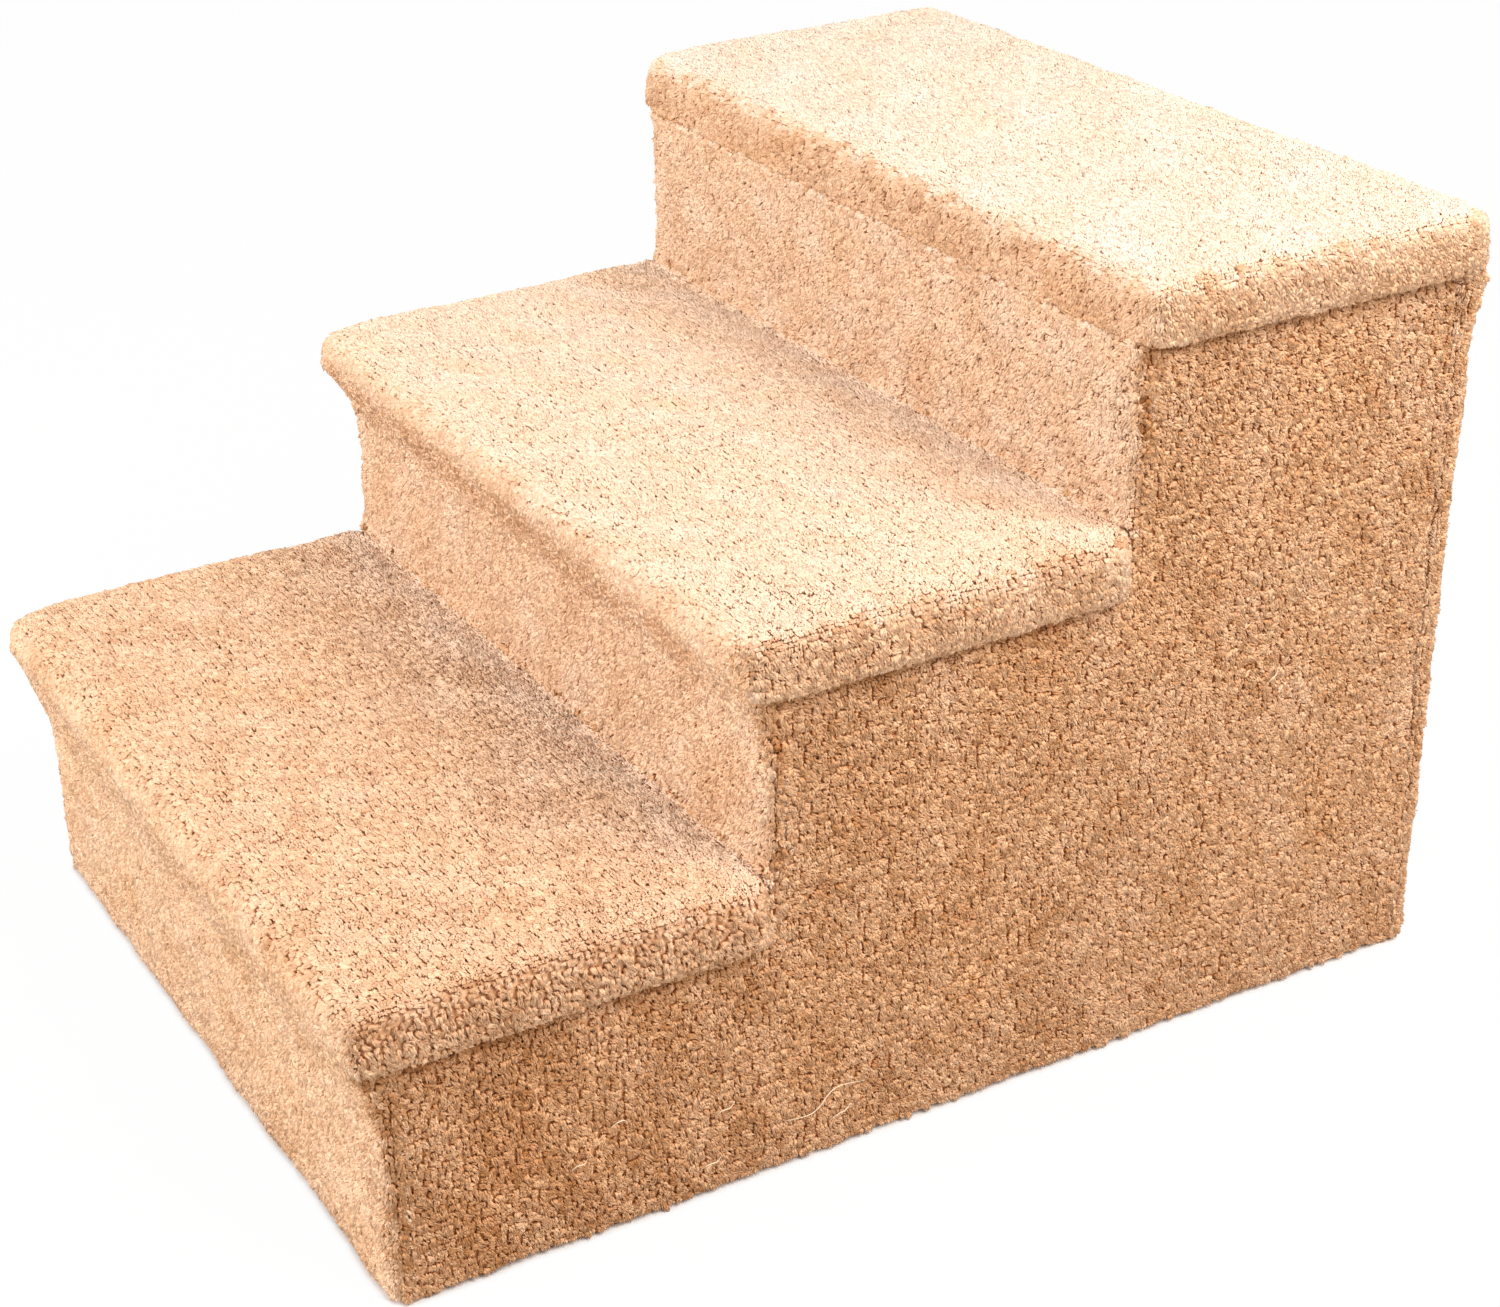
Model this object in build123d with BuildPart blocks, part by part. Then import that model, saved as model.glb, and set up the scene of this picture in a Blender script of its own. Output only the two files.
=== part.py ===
from build123d import *
import os

os.makedirs("parts", exist_ok=True)

# Carpeted pet stairs: three steps on a plywood carcass that is open underneath.
# Lengths are in millimetres. +Z is up, +Y runs from the bottom step to the back and
# +X is the right-hand side for someone standing in front of the bottom step.
# The origin is on the floor, at the centre of the outline seen from above.

# Driving sizes over the carpet
base_width = 447
rises = (163, 123.5, 120)
runs = (194, 194, 201)
nose_overhangs = (17.5, 17.5, 1)

# Sheet materials
board = 12
carpet = 9
hem = 6
seam_gap = 0.3

# Treads and their wrapped edges
side_overhang = 9.8
band_height = 31
tread_corner_radius = 10
tread_edge_radius = 8
band_low_radius = 3.5

# Fall of the carpet from a nose back to its riser: where it leaves the vertical
# front of the nose, where it meets the riser, and how softly it bends there
fall_start_drop = 15
fall_end_drops = (68, 49)
fall_bend_radius = 20

# Carpet corners and the strips of back carpet folded round onto the sides
riser_corner_radius = 7
upper_riser_corner_radius = 4
hem_radius = 4.5
back_strip_top = 15
back_strip_low = 10
back_strip_proud = 3

# Softwood cleats and battens
cleat = 18

# Countersunk wood screws
screw_radius = 2
screw_head_radius = 4
screw_head_height = 2.4
screw_tip = 5
long_screw_length = 32
short_screw_length = 25
screw_slot_length = 4.6
screw_slot_width = 1
screw_slot_depth = 1.6
screw_clearance = 0.05
side_screw_shares = (0.16, 0.5, 0.84)
cross_screw_shares = (-0.62, 0, 0.62)
riser_screw_shares = (0.25, 0.72)
back_screw_shares = (0.1, 0.37, 0.63, 0.88)
cleat_screw_shares = (0.2, 0.8)
batten_tread_screw_shares = (-0.75, 0, 0.75)
batten_riser_screw_shares = (-0.4, 0.4)

# Staples that hold the hems to the bottom edges of the boards
staple_width = 10
staple_length = 12
staple_wire = 1.2
staple_sink = 0.5
staple_clearance = 0.05
side_staple_shares = (0.05, 0.18, 0.31, 0.44, 0.57, 0.7, 0.83, 0.95)
cross_staple_shares = (-0.88, -0.53, -0.18, 0.18, 0.53, 0.88)

# How far a cutting shape runs past the material that it cuts
overrun = 5

# Places across the width, from the centre line outwards
base_half = base_width / 2
panel_half = base_half - carpet
inner_half = panel_half - board
tread_half = panel_half + side_overhang
wrap_half = tread_half + carpet
panel_middle = panel_half - board / 2

# Places along the depth: the carpet faces of the risers, then the back
depth = nose_overhangs[0] + sum(runs)
riser_faces = []
face = nose_overhangs[0] - depth / 2
for run in runs:
    riser_faces.append(face)
    face += run
back_face = face
riser_fronts = [face + carpet for face in riser_faces]
riser_backs = [front + board for front in riser_fronts]
back_outer = back_face - carpet
back_inner = back_outer - board
nose_faces = [face - over for face, over in zip(riser_faces, nose_overhangs)]
board_noses = [face + carpet for face in nose_faces]

# Heights: the carpet tops of the treads, then their boards
tread_tops = [sum(rises[: index + 1]) for index in range(len(rises))]
board_tops = [top - carpet for top in tread_tops]
board_lows = [top - board for top in board_tops]
band_lows = [top - band_height for top in tread_tops]

step_names = ("bottom", "middle", "top")


def make_screw(length, clearance):
    """Countersunk screw with its head level with z = 0 and its point towards -Z."""
    with BuildPart() as screw:
        with BuildSketch(Plane.XZ):
            with BuildLine():
                Polyline(
                    (0, 0),
                    (screw_head_radius + clearance, 0),
                    (screw_radius + clearance, -screw_head_height - clearance),
                    (screw_radius + clearance, screw_tip - length),
                    (0, -length - clearance),
                    close=True,
                )
            make_face()
        revolve(axis=Axis.Z)
        if clearance == 0:
            with BuildSketch(Plane.XY):
                Rectangle(screw_slot_length, screw_slot_width)
                Rectangle(screw_slot_width, screw_slot_length)
            extrude(amount=-screw_slot_depth, mode=Mode.SUBTRACT)
    return screw.part


def make_staple(clearance, sink):
    """Staple with its crown along X and its legs up. The sink opens its pocket to the floor."""
    with BuildPart() as staple:
        with BuildSketch(Plane.XZ):
            with BuildLine():
                half = staple_width / 2 + clearance
                leg = half - staple_wire - 2 * clearance
                crown = staple_sink + staple_wire + clearance
                top = staple_sink + staple_length + clearance
                Polyline(
                    (-half, staple_sink - sink),
                    (half, staple_sink - sink),
                    (half, top),
                    (leg, top),
                    (leg, crown),
                    (-leg, crown),
                    (-leg, top),
                    (-half, top),
                    close=True,
                )
            make_face()
        extrude(amount=staple_wire / 2 + clearance, both=True)
    return staple.part


long_screw = make_screw(long_screw_length, 0)
long_screw_room = make_screw(long_screw_length, screw_clearance)
short_screw = make_screw(short_screw_length, 0)
short_screw_room = make_screw(short_screw_length, screw_clearance)
staple_solid = make_staple(0, 0)
staple_room = make_staple(staple_clearance, staple_sink)


def heads_towards(direction, points):
    """Turn points into screw places whose heads face the given direction."""
    return [Plane(origin=point, z_dir=direction).location for point in points]


def along(low, high, shares):
    """Places between two ends, as shares of the way from the low to the high end."""
    return [low + share * (high - low) for share in shares]


# Screw places. The treads are screwed down into the side panels and the risers.
tread_rears = [riser_fronts[1], riser_fronts[2], back_outer]
tread_screw_places = []
for index in range(3):
    ys = along(riser_backs[index], tread_rears[index], side_screw_shares)
    points = [(side * panel_middle, y, board_tops[index]) for side in (-1, 1) for y in ys]
    rail_y = riser_fronts[index] + board / 2
    points += [(share * inner_half, rail_y, board_tops[index]) for share in cross_screw_shares]
    tread_screw_places.append(heads_towards((0, 0, 1), points))
back_rail_points = [
    (share * inner_half, back_inner + board / 2, board_tops[2]) for share in cross_screw_shares
]
tread_screw_places[2] += heads_towards((0, 0, 1), back_rail_points)

# The risers are screwed back into the side panels' front edges.
riser_lows = [hem, board_lows[0], board_lows[1]]
riser_screw_places = []
for index in range(3):
    zs = along(riser_lows[index], board_lows[index], riser_screw_shares)
    points = [(side * panel_middle, riser_fronts[index], z) for side in (-1, 1) for z in zs]
    riser_screw_places.append(heads_towards((0, -1, 0), points))

# The back panel is screwed forward into the side panels' rear edges.
back_points = [
    (side * panel_middle, back_outer, z)
    for side in (-1, 1)
    for z in along(hem, board_lows[2], back_screw_shares)
]
back_screw_places = heads_towards((0, 1, 0), back_points)

# The cleats are screwed outwards into the side panels, the battens up into the boards.
cleat_fronts = [riser_backs[0], riser_backs[1], riser_backs[2]]
cleat_rears = [riser_fronts[1] - cleat / 2, riser_fronts[2] - cleat / 2, back_inner]
cleat_screw_places = {-1: [], 1: []}
for side in (-1, 1):
    for index in range(3):
        points = [
            (side * (inner_half - cleat), y, board_lows[index] - cleat / 2)
            for y in along(cleat_fronts[index], cleat_rears[index], cleat_screw_shares)
        ]
        cleat_screw_places[side] += heads_towards((-side, 0, 0), points)
batten_screw_places = []
for index in range(2):
    low = board_lows[index] - cleat
    seam = riser_fronts[index + 1]
    points = [(share * inner_half, seam - cleat / 4, low) for share in batten_tread_screw_shares]
    points += [(share * inner_half, seam + cleat / 4, low) for share in batten_riser_screw_shares]
    batten_screw_places.append(heads_towards((0, 0, -1), points))

# Staple places, each a spot on the floor plane under a board's bottom edge
staple_places = {"left": [], "right": [], "front": [], "back": []}
for name, side in (("left", -1), ("right", 1)):
    for y in along(riser_backs[0], back_inner, side_staple_shares):
        spot = Plane(origin=(side * panel_middle, y, 0), x_dir=(0, 1, 0), z_dir=(0, 0, 1))
        staple_places[name].append(spot.location)
for name, edge in (("front", riser_fronts[0]), ("back", back_inner)):
    for share in cross_staple_shares:
        staple_places[name].append(Location((share * panel_half, edge + board / 2, 0)))


# Side panels: stepped plywood sheets that stand on the turned hem
panel_outline = [(riser_backs[0], hem)]
for index in range(2):
    panel_outline.append((riser_backs[index], board_lows[index]))
    panel_outline.append((riser_backs[index + 1], board_lows[index]))
panel_outline.append((riser_backs[2], board_lows[2]))
panel_outline.append((back_inner, board_lows[2]))
panel_outline.append((back_inner, hem))

for name, side in (("left", -1), ("right", 1)):
    with BuildPart() as side_panel:
        with BuildSketch(Plane.YZ.offset(side * panel_middle)):
            with BuildLine():
                Polyline(*panel_outline, close=True)
            make_face()
        extrude(amount=board / 2, both=True)
        for places in (*tread_screw_places, *riser_screw_places, back_screw_places):
            with Locations(*places):
                add(long_screw_room, mode=Mode.SUBTRACT)
        with Locations(*cleat_screw_places[side]):
            add(short_screw_room, mode=Mode.SUBTRACT)
        with Locations(*staple_places[name]):
            add(staple_room, mode=Mode.SUBTRACT)
    side_panel.part.label = "side_panel_" + name
    export_step(side_panel.part, "parts/side_panel_" + name + ".step")


# Riser boards: across the front edges of the side panels
for index in range(3):
    with BuildPart() as riser_board:
        with BuildSketch(Plane.XZ.offset(-riser_fronts[index])):
            with Locations((0, (riser_lows[index] + board_lows[index]) / 2)):
                Rectangle(2 * panel_half, board_lows[index] - riser_lows[index])
        extrude(amount=-board)
        with Locations(*riser_screw_places[index], *tread_screw_places[index]):
            add(long_screw_room, mode=Mode.SUBTRACT)
        if index > 0:
            with Locations(*batten_screw_places[index - 1]):
                add(short_screw_room, mode=Mode.SUBTRACT)
        else:
            with Locations(*staple_places["front"]):
                add(staple_room, mode=Mode.SUBTRACT)
    riser_board.part.label = "riser_board_" + step_names[index]
    export_step(riser_board.part, "parts/riser_board_" + step_names[index] + ".step")


# Tread boards: the two lower ones have ears that stop short of the next riser's face,
# so that the carpet can fold round the back ends of the ears
ear_rears = [riser_faces[1] - carpet, riser_faces[2] - carpet, back_outer]


def tread_board_outline(index):
    """Plan of a tread board with its ears, drawn into the sketch that is open."""
    nose = board_noses[index]
    with Locations((0, (nose + tread_rears[index]) / 2)):
        Rectangle(2 * panel_half, tread_rears[index] - nose)
    with Locations((0, (nose + ear_rears[index]) / 2)):
        Rectangle(2 * tread_half, ear_rears[index] - nose)


for index in range(3):
    with BuildPart() as tread_board:
        with BuildSketch(Plane.XY.offset(board_lows[index])):
            tread_board_outline(index)
        extrude(amount=board)
        with Locations(*tread_screw_places[index]):
            add(long_screw_room, mode=Mode.SUBTRACT)
        if index < 2:
            with Locations(*batten_screw_places[index]):
                add(short_screw_room, mode=Mode.SUBTRACT)
    tread_board.part.label = "tread_board_" + step_names[index]
    export_step(tread_board.part, "parts/tread_board_" + step_names[index] + ".step")


# Back panel: across the rear edges of the side panels, up to the top tread board
with BuildPart() as back_panel:
    with BuildSketch(Plane.XZ.offset(-back_inner)):
        with Locations((0, (hem + board_lows[2]) / 2)):
            Rectangle(2 * panel_half, board_lows[2] - hem)
    extrude(amount=-board)
    with Locations(*back_screw_places, *tread_screw_places[2]):
        add(long_screw_room, mode=Mode.SUBTRACT)
    with Locations(*staple_places["back"]):
        add(staple_room, mode=Mode.SUBTRACT)
back_panel.part.label = "back_panel"
export_step(back_panel.part, "parts/back_panel.step")


# Cleats: square softwood strips in the corner between side panel and tread board
for name, side in (("left", -1), ("right", 1)):
    for index in range(3):
        with BuildPart() as tread_cleat:
            with BuildSketch(Plane.XZ.offset(-cleat_fronts[index])):
                with Locations((side * (inner_half - cleat / 2), board_lows[index] - cleat / 2)):
                    Rectangle(cleat, cleat)
            extrude(amount=cleat_fronts[index] - cleat_rears[index])
            with Locations(*cleat_screw_places[side]):
                add(short_screw_room, mode=Mode.SUBTRACT)
        tread_cleat.part.label = "cleat_" + step_names[index] + "_" + name
        export_step(tread_cleat.part, "parts/" + tread_cleat.part.label + ".step")


# Battens: strips under the joint of a tread board's rear edge and the riser behind it
for index in range(2):
    with BuildPart() as batten:
        with BuildSketch(Plane.YZ):
            with Locations((riser_fronts[index + 1], board_lows[index] - cleat / 2)):
                Rectangle(cleat, cleat)
        extrude(amount=inner_half, both=True)
        with Locations(*batten_screw_places[index]):
            add(short_screw_room, mode=Mode.SUBTRACT)
    batten.part.label = "batten_" + step_names[index]
    export_step(batten.part, "parts/" + batten.part.label + ".step")


# Screws, one node for each job
screw_sets = {
    "screws_treads": (long_screw, [place for places in tread_screw_places for place in places]),
    "screws_risers": (long_screw, [place for places in riser_screw_places for place in places]),
    "screws_back": (long_screw, back_screw_places),
    "screws_cleats": (short_screw, cleat_screw_places[-1] + cleat_screw_places[1]),
    "screws_battens": (short_screw, batten_screw_places[0] + batten_screw_places[1]),
}
for name, (solid, places) in screw_sets.items():
    with BuildPart() as screws:
        with Locations(*places):
            add(solid)
    screws.part.label = name
    export_step(screws.part, "parts/" + name + ".step")


# Staples through the hems, one node for the whole outline
with BuildPart() as staples:
    for places in staple_places.values():
        with Locations(*places):
            add(staple_solid)
staples.part.label = "staples_hem"
export_step(staples.part, "parts/staples_hem.step")


# Side carpets: from the floor up to the tread boards, with the hem turned in under
# the panel. Their front edges lie behind the riser carpets.
side_outline = [(riser_fronts[0] + seam_gap, 0)]
for index in range(2):
    shelf = board_lows[index] - seam_gap
    landing = tread_tops[index] - seam_gap
    side_outline.append((riser_fronts[index] + seam_gap, shelf))
    side_outline.append((riser_faces[index + 1] + seam_gap, shelf))
    side_outline.append((riser_faces[index + 1] + seam_gap, landing))
    side_outline.append((riser_fronts[index + 1] + seam_gap, landing))
side_outline.append((riser_fronts[2] + seam_gap, board_lows[2] - seam_gap))
side_outline.append((back_face - back_strip_top - seam_gap, board_lows[2] - seam_gap))
side_outline.append((back_face - back_strip_low - seam_gap, 0))

for name, side in (("left", -1), ("right", 1)):
    with BuildPart() as side_carpet:
        with BuildSketch(Plane.YZ.offset(side * (panel_half + carpet / 2))):
            with BuildLine():
                Polyline(*side_outline, close=True)
            make_face()
        extrude(amount=carpet / 2, both=True)
        hem_edge = side_carpet.faces().sort_by(Axis.Z)[0].edges().sort_by(Axis.X)[-1 if side > 0 else 0]
        fillet(hem_edge, radius=hem_radius)
        with BuildSketch(Plane.XY):
            with Locations((side * panel_middle, (riser_backs[0] + back_inner) / 2)):
                Rectangle(board, back_inner - riser_backs[0] - 2 * seam_gap)
        extrude(amount=hem)
        with Locations(*staple_places[name]):
            add(staple_room, mode=Mode.SUBTRACT)
    side_carpet.part.label = "carpet_side_" + name
    export_step(side_carpet.part, "parts/" + side_carpet.part.label + ".step")


def fall_points(index, low):
    """Corners of the visible line from the foot of a riser up to the nose above it."""
    top = tread_tops[index]
    return [
        (riser_faces[index], low),
        (riser_faces[index], top - fall_end_drops[index]),
        (nose_faces[index], top - fall_start_drop),
        (nose_faces[index], top),
    ]


def step_carpet(index, low):
    """Carpet of one lower step: over the tread, down the nose and down the riser."""
    face = riser_faces[index]
    nose = nose_faces[index]
    front = riser_fronts[index]
    rear = riser_faces[index + 1]
    top = tread_tops[index]
    line = fall_points(index, low)
    with BuildPart() as step:
        # Wrap round the tread board, as a rounded slab as deep as the side bands
        with BuildSketch(Plane.XY.offset(band_lows[index])):
            with Locations((0, (nose + rear) / 2)):
                RectangleRounded(2 * wrap_half, rear - nose, tread_corner_radius)
        extrude(amount=band_height)
        fillet(step.faces().sort_by(Axis.Z)[-1].edges(), radius=tread_edge_radius)
        fillet(step.faces().sort_by(Axis.Z)[0].edges(), radius=band_low_radius)
        # Slope of the nose, cut from the slab
        with BuildSketch(Plane.YZ):
            with BuildLine():
                FilletPolyline(*line, radius=fall_bend_radius)
                Polyline(line[-1], (nose - overrun, top), (nose - overrun, low), line[0])
            make_face()
        extrude(amount=wrap_half + overrun, both=True, mode=Mode.SUBTRACT)
        # Room for the tread board, and for the step's sides below it
        with BuildSketch(Plane.XY.offset(band_lows[index] - overrun)):
            with Locations((0, (board_noses[index] + rear + overrun) / 2)):
                Rectangle(2 * tread_half, rear + overrun - board_noses[index])
        extrude(amount=board_lows[index] - band_lows[index] + overrun, mode=Mode.SUBTRACT)
        with BuildSketch(Plane.XY.offset(board_lows[index])):
            tread_board_outline(index)
        extrude(amount=board, mode=Mode.SUBTRACT)
        # Rear strip of the tread, up to the board of the next riser
        with BuildSketch(Plane.XY.offset(board_tops[index])):
            with Locations((0, rear)):
                Rectangle(2 * panel_half, 2 * carpet)
        extrude(amount=carpet)
    with BuildPart() as fall:
        # Riser sheet that swells out to the nose, with rounded ends
        with BuildSketch(Plane.YZ):
            with BuildLine():
                FilletPolyline(*line[:-1], (nose, board_tops[index]), radius=fall_bend_radius)
                Polyline((nose, board_tops[index]), (front, board_tops[index]), (front, low), line[0])
            make_face()
        extrude(amount=base_half, both=True)
        ends = fall.edges().filter_by(Axis.Y, reverse=True)
        ends = ends.filter_by(lambda edge: abs(edge.center().X) > base_half - seam_gap)
        ends = ends.filter_by(lambda edge: edge.center().Y < face + carpet / 2)
        corner = riser_corner_radius if index == 0 else upper_riser_corner_radius
        fillet(ends, radius=corner)
        if index == 0:
            foot = fall.faces().sort_by(Axis.Z)[0].edges()
            foot = foot.filter_by(lambda edge: edge.center().Y < face + corner)
            fillet(foot.filter_by(lambda edge: edge.center().Y < front - seam_gap), radius=hem_radius)
        # Room for the tread board
        with BuildSketch(Plane.XY.offset(board_lows[index])):
            with Locations((0, (board_noses[index] + front) / 2)):
                Rectangle(base_width, front - board_noses[index])
        extrude(amount=board, mode=Mode.SUBTRACT)
        # Air pocket between the sloping carpet, the riser board and the tread board,
        # closed at both ends by the thickness of the carpet
        inner_foot = top - fall_end_drops[index]
        with BuildSketch(Plane.YZ):
            with BuildLine():
                Polyline(
                    (board_noses[index], board_lows[index]),
                    (front, inner_foot),
                    (front, board_lows[index]),
                    close=True,
                )
            make_face()
        extrude(amount=panel_half, both=True, mode=Mode.SUBTRACT)
    with BuildPart() as whole:
        add(step.part)
        add(fall.part)
        if index == 0:
            with BuildSketch(Plane.XY):
                with Locations((0, front + board / 2)):
                    Rectangle(2 * panel_half, board)
            extrude(amount=hem)
            with Locations(*staple_places["front"]):
                add(staple_room, mode=Mode.SUBTRACT)
    return whole.part


# Carpets of the two lower steps. The middle one stands on the bottom one's tread.
for index, foot in ((0, 0), (1, tread_tops[0])):
    lower_carpet = step_carpet(index, foot)
    lower_carpet.label = "carpet_step_" + step_names[index]
    export_step(lower_carpet, "parts/" + lower_carpet.label + ".step")


# Carpet of the top riser, between the middle tread and the top tread's front band
with BuildPart() as carpet_riser_top:
    riser_height = band_lows[2] - seam_gap - tread_tops[1]
    with BuildSketch(Plane.XZ.offset(-riser_faces[2])):
        with Locations((0, tread_tops[1] + riser_height / 2)):
            Rectangle(base_width, riser_height)
    extrude(amount=-carpet)
    front_face = carpet_riser_top.faces().sort_by(Axis.Y)[0]
    fillet(front_face.edges().filter_by(Axis.Z), radius=upper_riser_corner_radius)
carpet_riser_top.part.label = "carpet_riser_top"
export_step(carpet_riser_top.part, "parts/carpet_riser_top.step")


# Top carpet: over the top tread and down the back in one piece, with strips folded
# round onto the sides and the hem turned in under the back panel
strip_half = base_half + back_strip_proud
with BuildPart() as carpet_top_and_back:
    with BuildSketch(Plane.XY.offset(band_lows[2])):
        with Locations((0, (nose_faces[2] + back_face) / 2)):
            RectangleRounded(2 * wrap_half, back_face - nose_faces[2], tread_corner_radius)
    extrude(amount=band_height)
    fillet(carpet_top_and_back.faces().sort_by(Axis.Z)[-1].edges(), radius=tread_edge_radius)
    fillet(carpet_top_and_back.faces().sort_by(Axis.Z)[0].edges(), radius=band_low_radius)
    with BuildSketch(Plane.XY.offset(band_lows[2] - overrun)):
        with Locations((0, (board_noses[2] + back_outer) / 2)):
            Rectangle(2 * tread_half, back_outer - board_noses[2])
    extrude(amount=overrun + board_tops[2] - band_lows[2], mode=Mode.SUBTRACT)
with BuildPart() as back_sheet:
    with BuildSketch(Plane.YZ):
        with BuildLine():
            Polyline(
                (back_face, 0),
                (back_face, board_lows[2]),
                (back_face - back_strip_top, board_lows[2]),
                (back_face - back_strip_low, 0),
                close=True,
            )
        make_face()
    extrude(amount=strip_half, both=True)
    outer_face = back_sheet.faces().sort_by(Axis.Y)[-1]
    fillet(outer_face.edges().filter_by(Axis.Z), radius=riser_corner_radius)
    floor_edges = back_sheet.faces().sort_by(Axis.Z)[0].edges()
    floor_edges = floor_edges.filter_by(lambda edge: edge.center().Y > back_face - riser_corner_radius)
    fillet(floor_edges, radius=hem_radius)
    with BuildSketch(Plane.XY):
        with Locations((0, back_outer - back_strip_top)):
            Rectangle(2 * panel_half, 2 * back_strip_top)
    extrude(amount=board_lows[2], mode=Mode.SUBTRACT)
    with BuildSketch(Plane.XY):
        with Locations((0, (back_inner + back_outer) / 2)):
            Rectangle(2 * panel_half, board)
    extrude(amount=hem)
    with Locations(*staple_places["back"]):
        add(staple_room, mode=Mode.SUBTRACT)
with BuildPart() as top_and_back:
    add(carpet_top_and_back.part)
    add(back_sheet.part)
top_and_back.part.label = "carpet_top_and_back"
export_step(top_and_back.part, "parts/carpet_top_and_back.step")
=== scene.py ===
"""Looks of the carpeted pet stairs: pile, timber, fixings, light and camera.

Everything is in metres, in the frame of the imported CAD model: +Z up, +Y from the
bottom step to the back, +X to the right of someone facing the bottom step.
"""

import logging
import math
from dataclasses import dataclass, field, fields, replace
from enum import Enum

import bpy
import numpy as np
from bpy.types import Material, Mesh, Node, NodeSocket, NodeTree, Object
from mathutils import Matrix, Vector
from mathutils.bvhtree import BVHTree


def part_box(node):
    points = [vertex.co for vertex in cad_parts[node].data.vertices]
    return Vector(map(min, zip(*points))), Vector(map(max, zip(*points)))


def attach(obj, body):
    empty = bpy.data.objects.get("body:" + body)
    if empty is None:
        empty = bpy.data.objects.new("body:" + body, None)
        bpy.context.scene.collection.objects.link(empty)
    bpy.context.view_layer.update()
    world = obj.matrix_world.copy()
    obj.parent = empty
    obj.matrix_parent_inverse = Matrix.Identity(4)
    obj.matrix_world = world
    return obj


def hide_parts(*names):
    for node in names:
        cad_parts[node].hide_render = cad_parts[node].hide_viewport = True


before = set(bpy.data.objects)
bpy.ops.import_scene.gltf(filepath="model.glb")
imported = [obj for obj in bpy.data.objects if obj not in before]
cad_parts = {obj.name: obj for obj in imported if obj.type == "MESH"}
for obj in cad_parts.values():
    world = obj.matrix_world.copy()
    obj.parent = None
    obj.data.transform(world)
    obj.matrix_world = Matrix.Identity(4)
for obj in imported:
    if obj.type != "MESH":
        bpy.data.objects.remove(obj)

log = logging.getLogger("pet_stairs")

Place = tuple[float, float, float]
Line = tuple[Place, ...]

MM = 0.001
BODY = "root"
PILE_VALUES = "pile"  # name of the values that the carpet's finishes read at each point
BAKE_MAP = "OFBake"

SIDE = 223.5  # the carpeted face of the side, in millimetres from the middle

# Sockets of a Mix node that mixes colours
MIX_A, MIX_B = 6, 7


class Facing(Enum):
    """The six ways that a face of the stairs can look, each with its direction."""

    UP = (0.0, 0.0, 1.0)
    DOWN = (0.0, 0.0, -1.0)
    FRONT = (0.0, -1.0, 0.0)
    BACK = (0.0, 1.0, 0.0)
    RIGHT = (1.0, 0.0, 0.0)
    LEFT = (-1.0, 0.0, 0.0)


class Axis(Enum):
    """An axis of the frame, by its place in a vector."""

    X = 0
    Y = 1
    Z = 2


def linear(hex_colour: str) -> tuple[float, float, float, float]:
    """Turn an sRGB hex colour into Blender's linear colour.

    Args:
        hex_colour: the colour, such as "#D9A878".

    Returns:
        Linear red, green and blue, and an alpha of 1.
    """
    levels = [int(hex_colour[i : i + 2], 16) / 255 for i in (1, 3, 5)]
    return (*(v / 12.92 if v <= 0.04045 else ((v + 0.055) / 1.055) ** 2.4 for v in levels), 1.0)


def add_node(tree: NodeTree, kind: str, inputs: dict | None = None, **settings: object) -> Node:
    """Add a shader node, set it up and link it.

    Args:
        tree: the node tree that gets it.
        kind: Blender's name of the node's type, after "ShaderNode".
        inputs: for each input socket, by name or number, a value, a hex colour, the socket
            that feeds it, or the node whose first output in use feeds it.
        settings: values of the node's own properties.

    Returns:
        The new node.
    """
    node = tree.nodes.new("ShaderNode" + kind)
    for name, value in settings.items():
        setattr(node, name, value)
    for name, value in (inputs or {}).items():
        if isinstance(value, str):
            value = linear(value)
        if isinstance(value, Node):
            value = next(output for output in value.outputs if output.enabled)
        if isinstance(value, NodeSocket):
            tree.links.new(value, node.inputs[name])
        else:
            node.inputs[name].default_value = value
    return node


def new_material(name: str) -> tuple[Material, NodeTree]:
    """Start a node material with nothing in it.

    Args:
        name: the material's name.

    Returns:
        The material and its empty node tree.
    """
    material = bpy.data.materials.new(name)
    material.use_nodes = True
    material.node_tree.nodes.clear()
    return material, material.node_tree


def finish_surface(tree: NodeTree, principled: dict) -> None:
    """End a material in a Principled shader.

    Args:
        tree: the material's node tree.
        principled: the shader's inputs, as for add_node.
    """
    shader = add_node(tree, "BsdfPrincipled", principled)
    add_node(tree, "OutputMaterial", {"Surface": shader})


def dress_node(name: str, material: Material) -> None:
    """Give every material slot of a CAD node the same finish.

    Args:
        name: the CAD node.
        material: its finish.
    """
    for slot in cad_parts[name].material_slots:
        slot.material = material
    log.info("dressed %s in %s", name, material.name)


def read_mesh(mesh: Mesh) -> tuple[np.ndarray, np.ndarray]:
    """Read a mesh as arrays.

    Args:
        mesh: a mesh whose faces all have as many corners as the first.

    Returns:
        The points, and each face's corners as numbers of points.
    """
    points = np.empty(len(mesh.vertices) * 3)
    mesh.vertices.foreach_get("co", points)
    corners = np.empty(len(mesh.loops), dtype=np.int32)
    mesh.loops.foreach_get("vertex_index", corners)
    return points.reshape(-1, 3), corners.reshape(len(mesh.polygons), -1)


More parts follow.
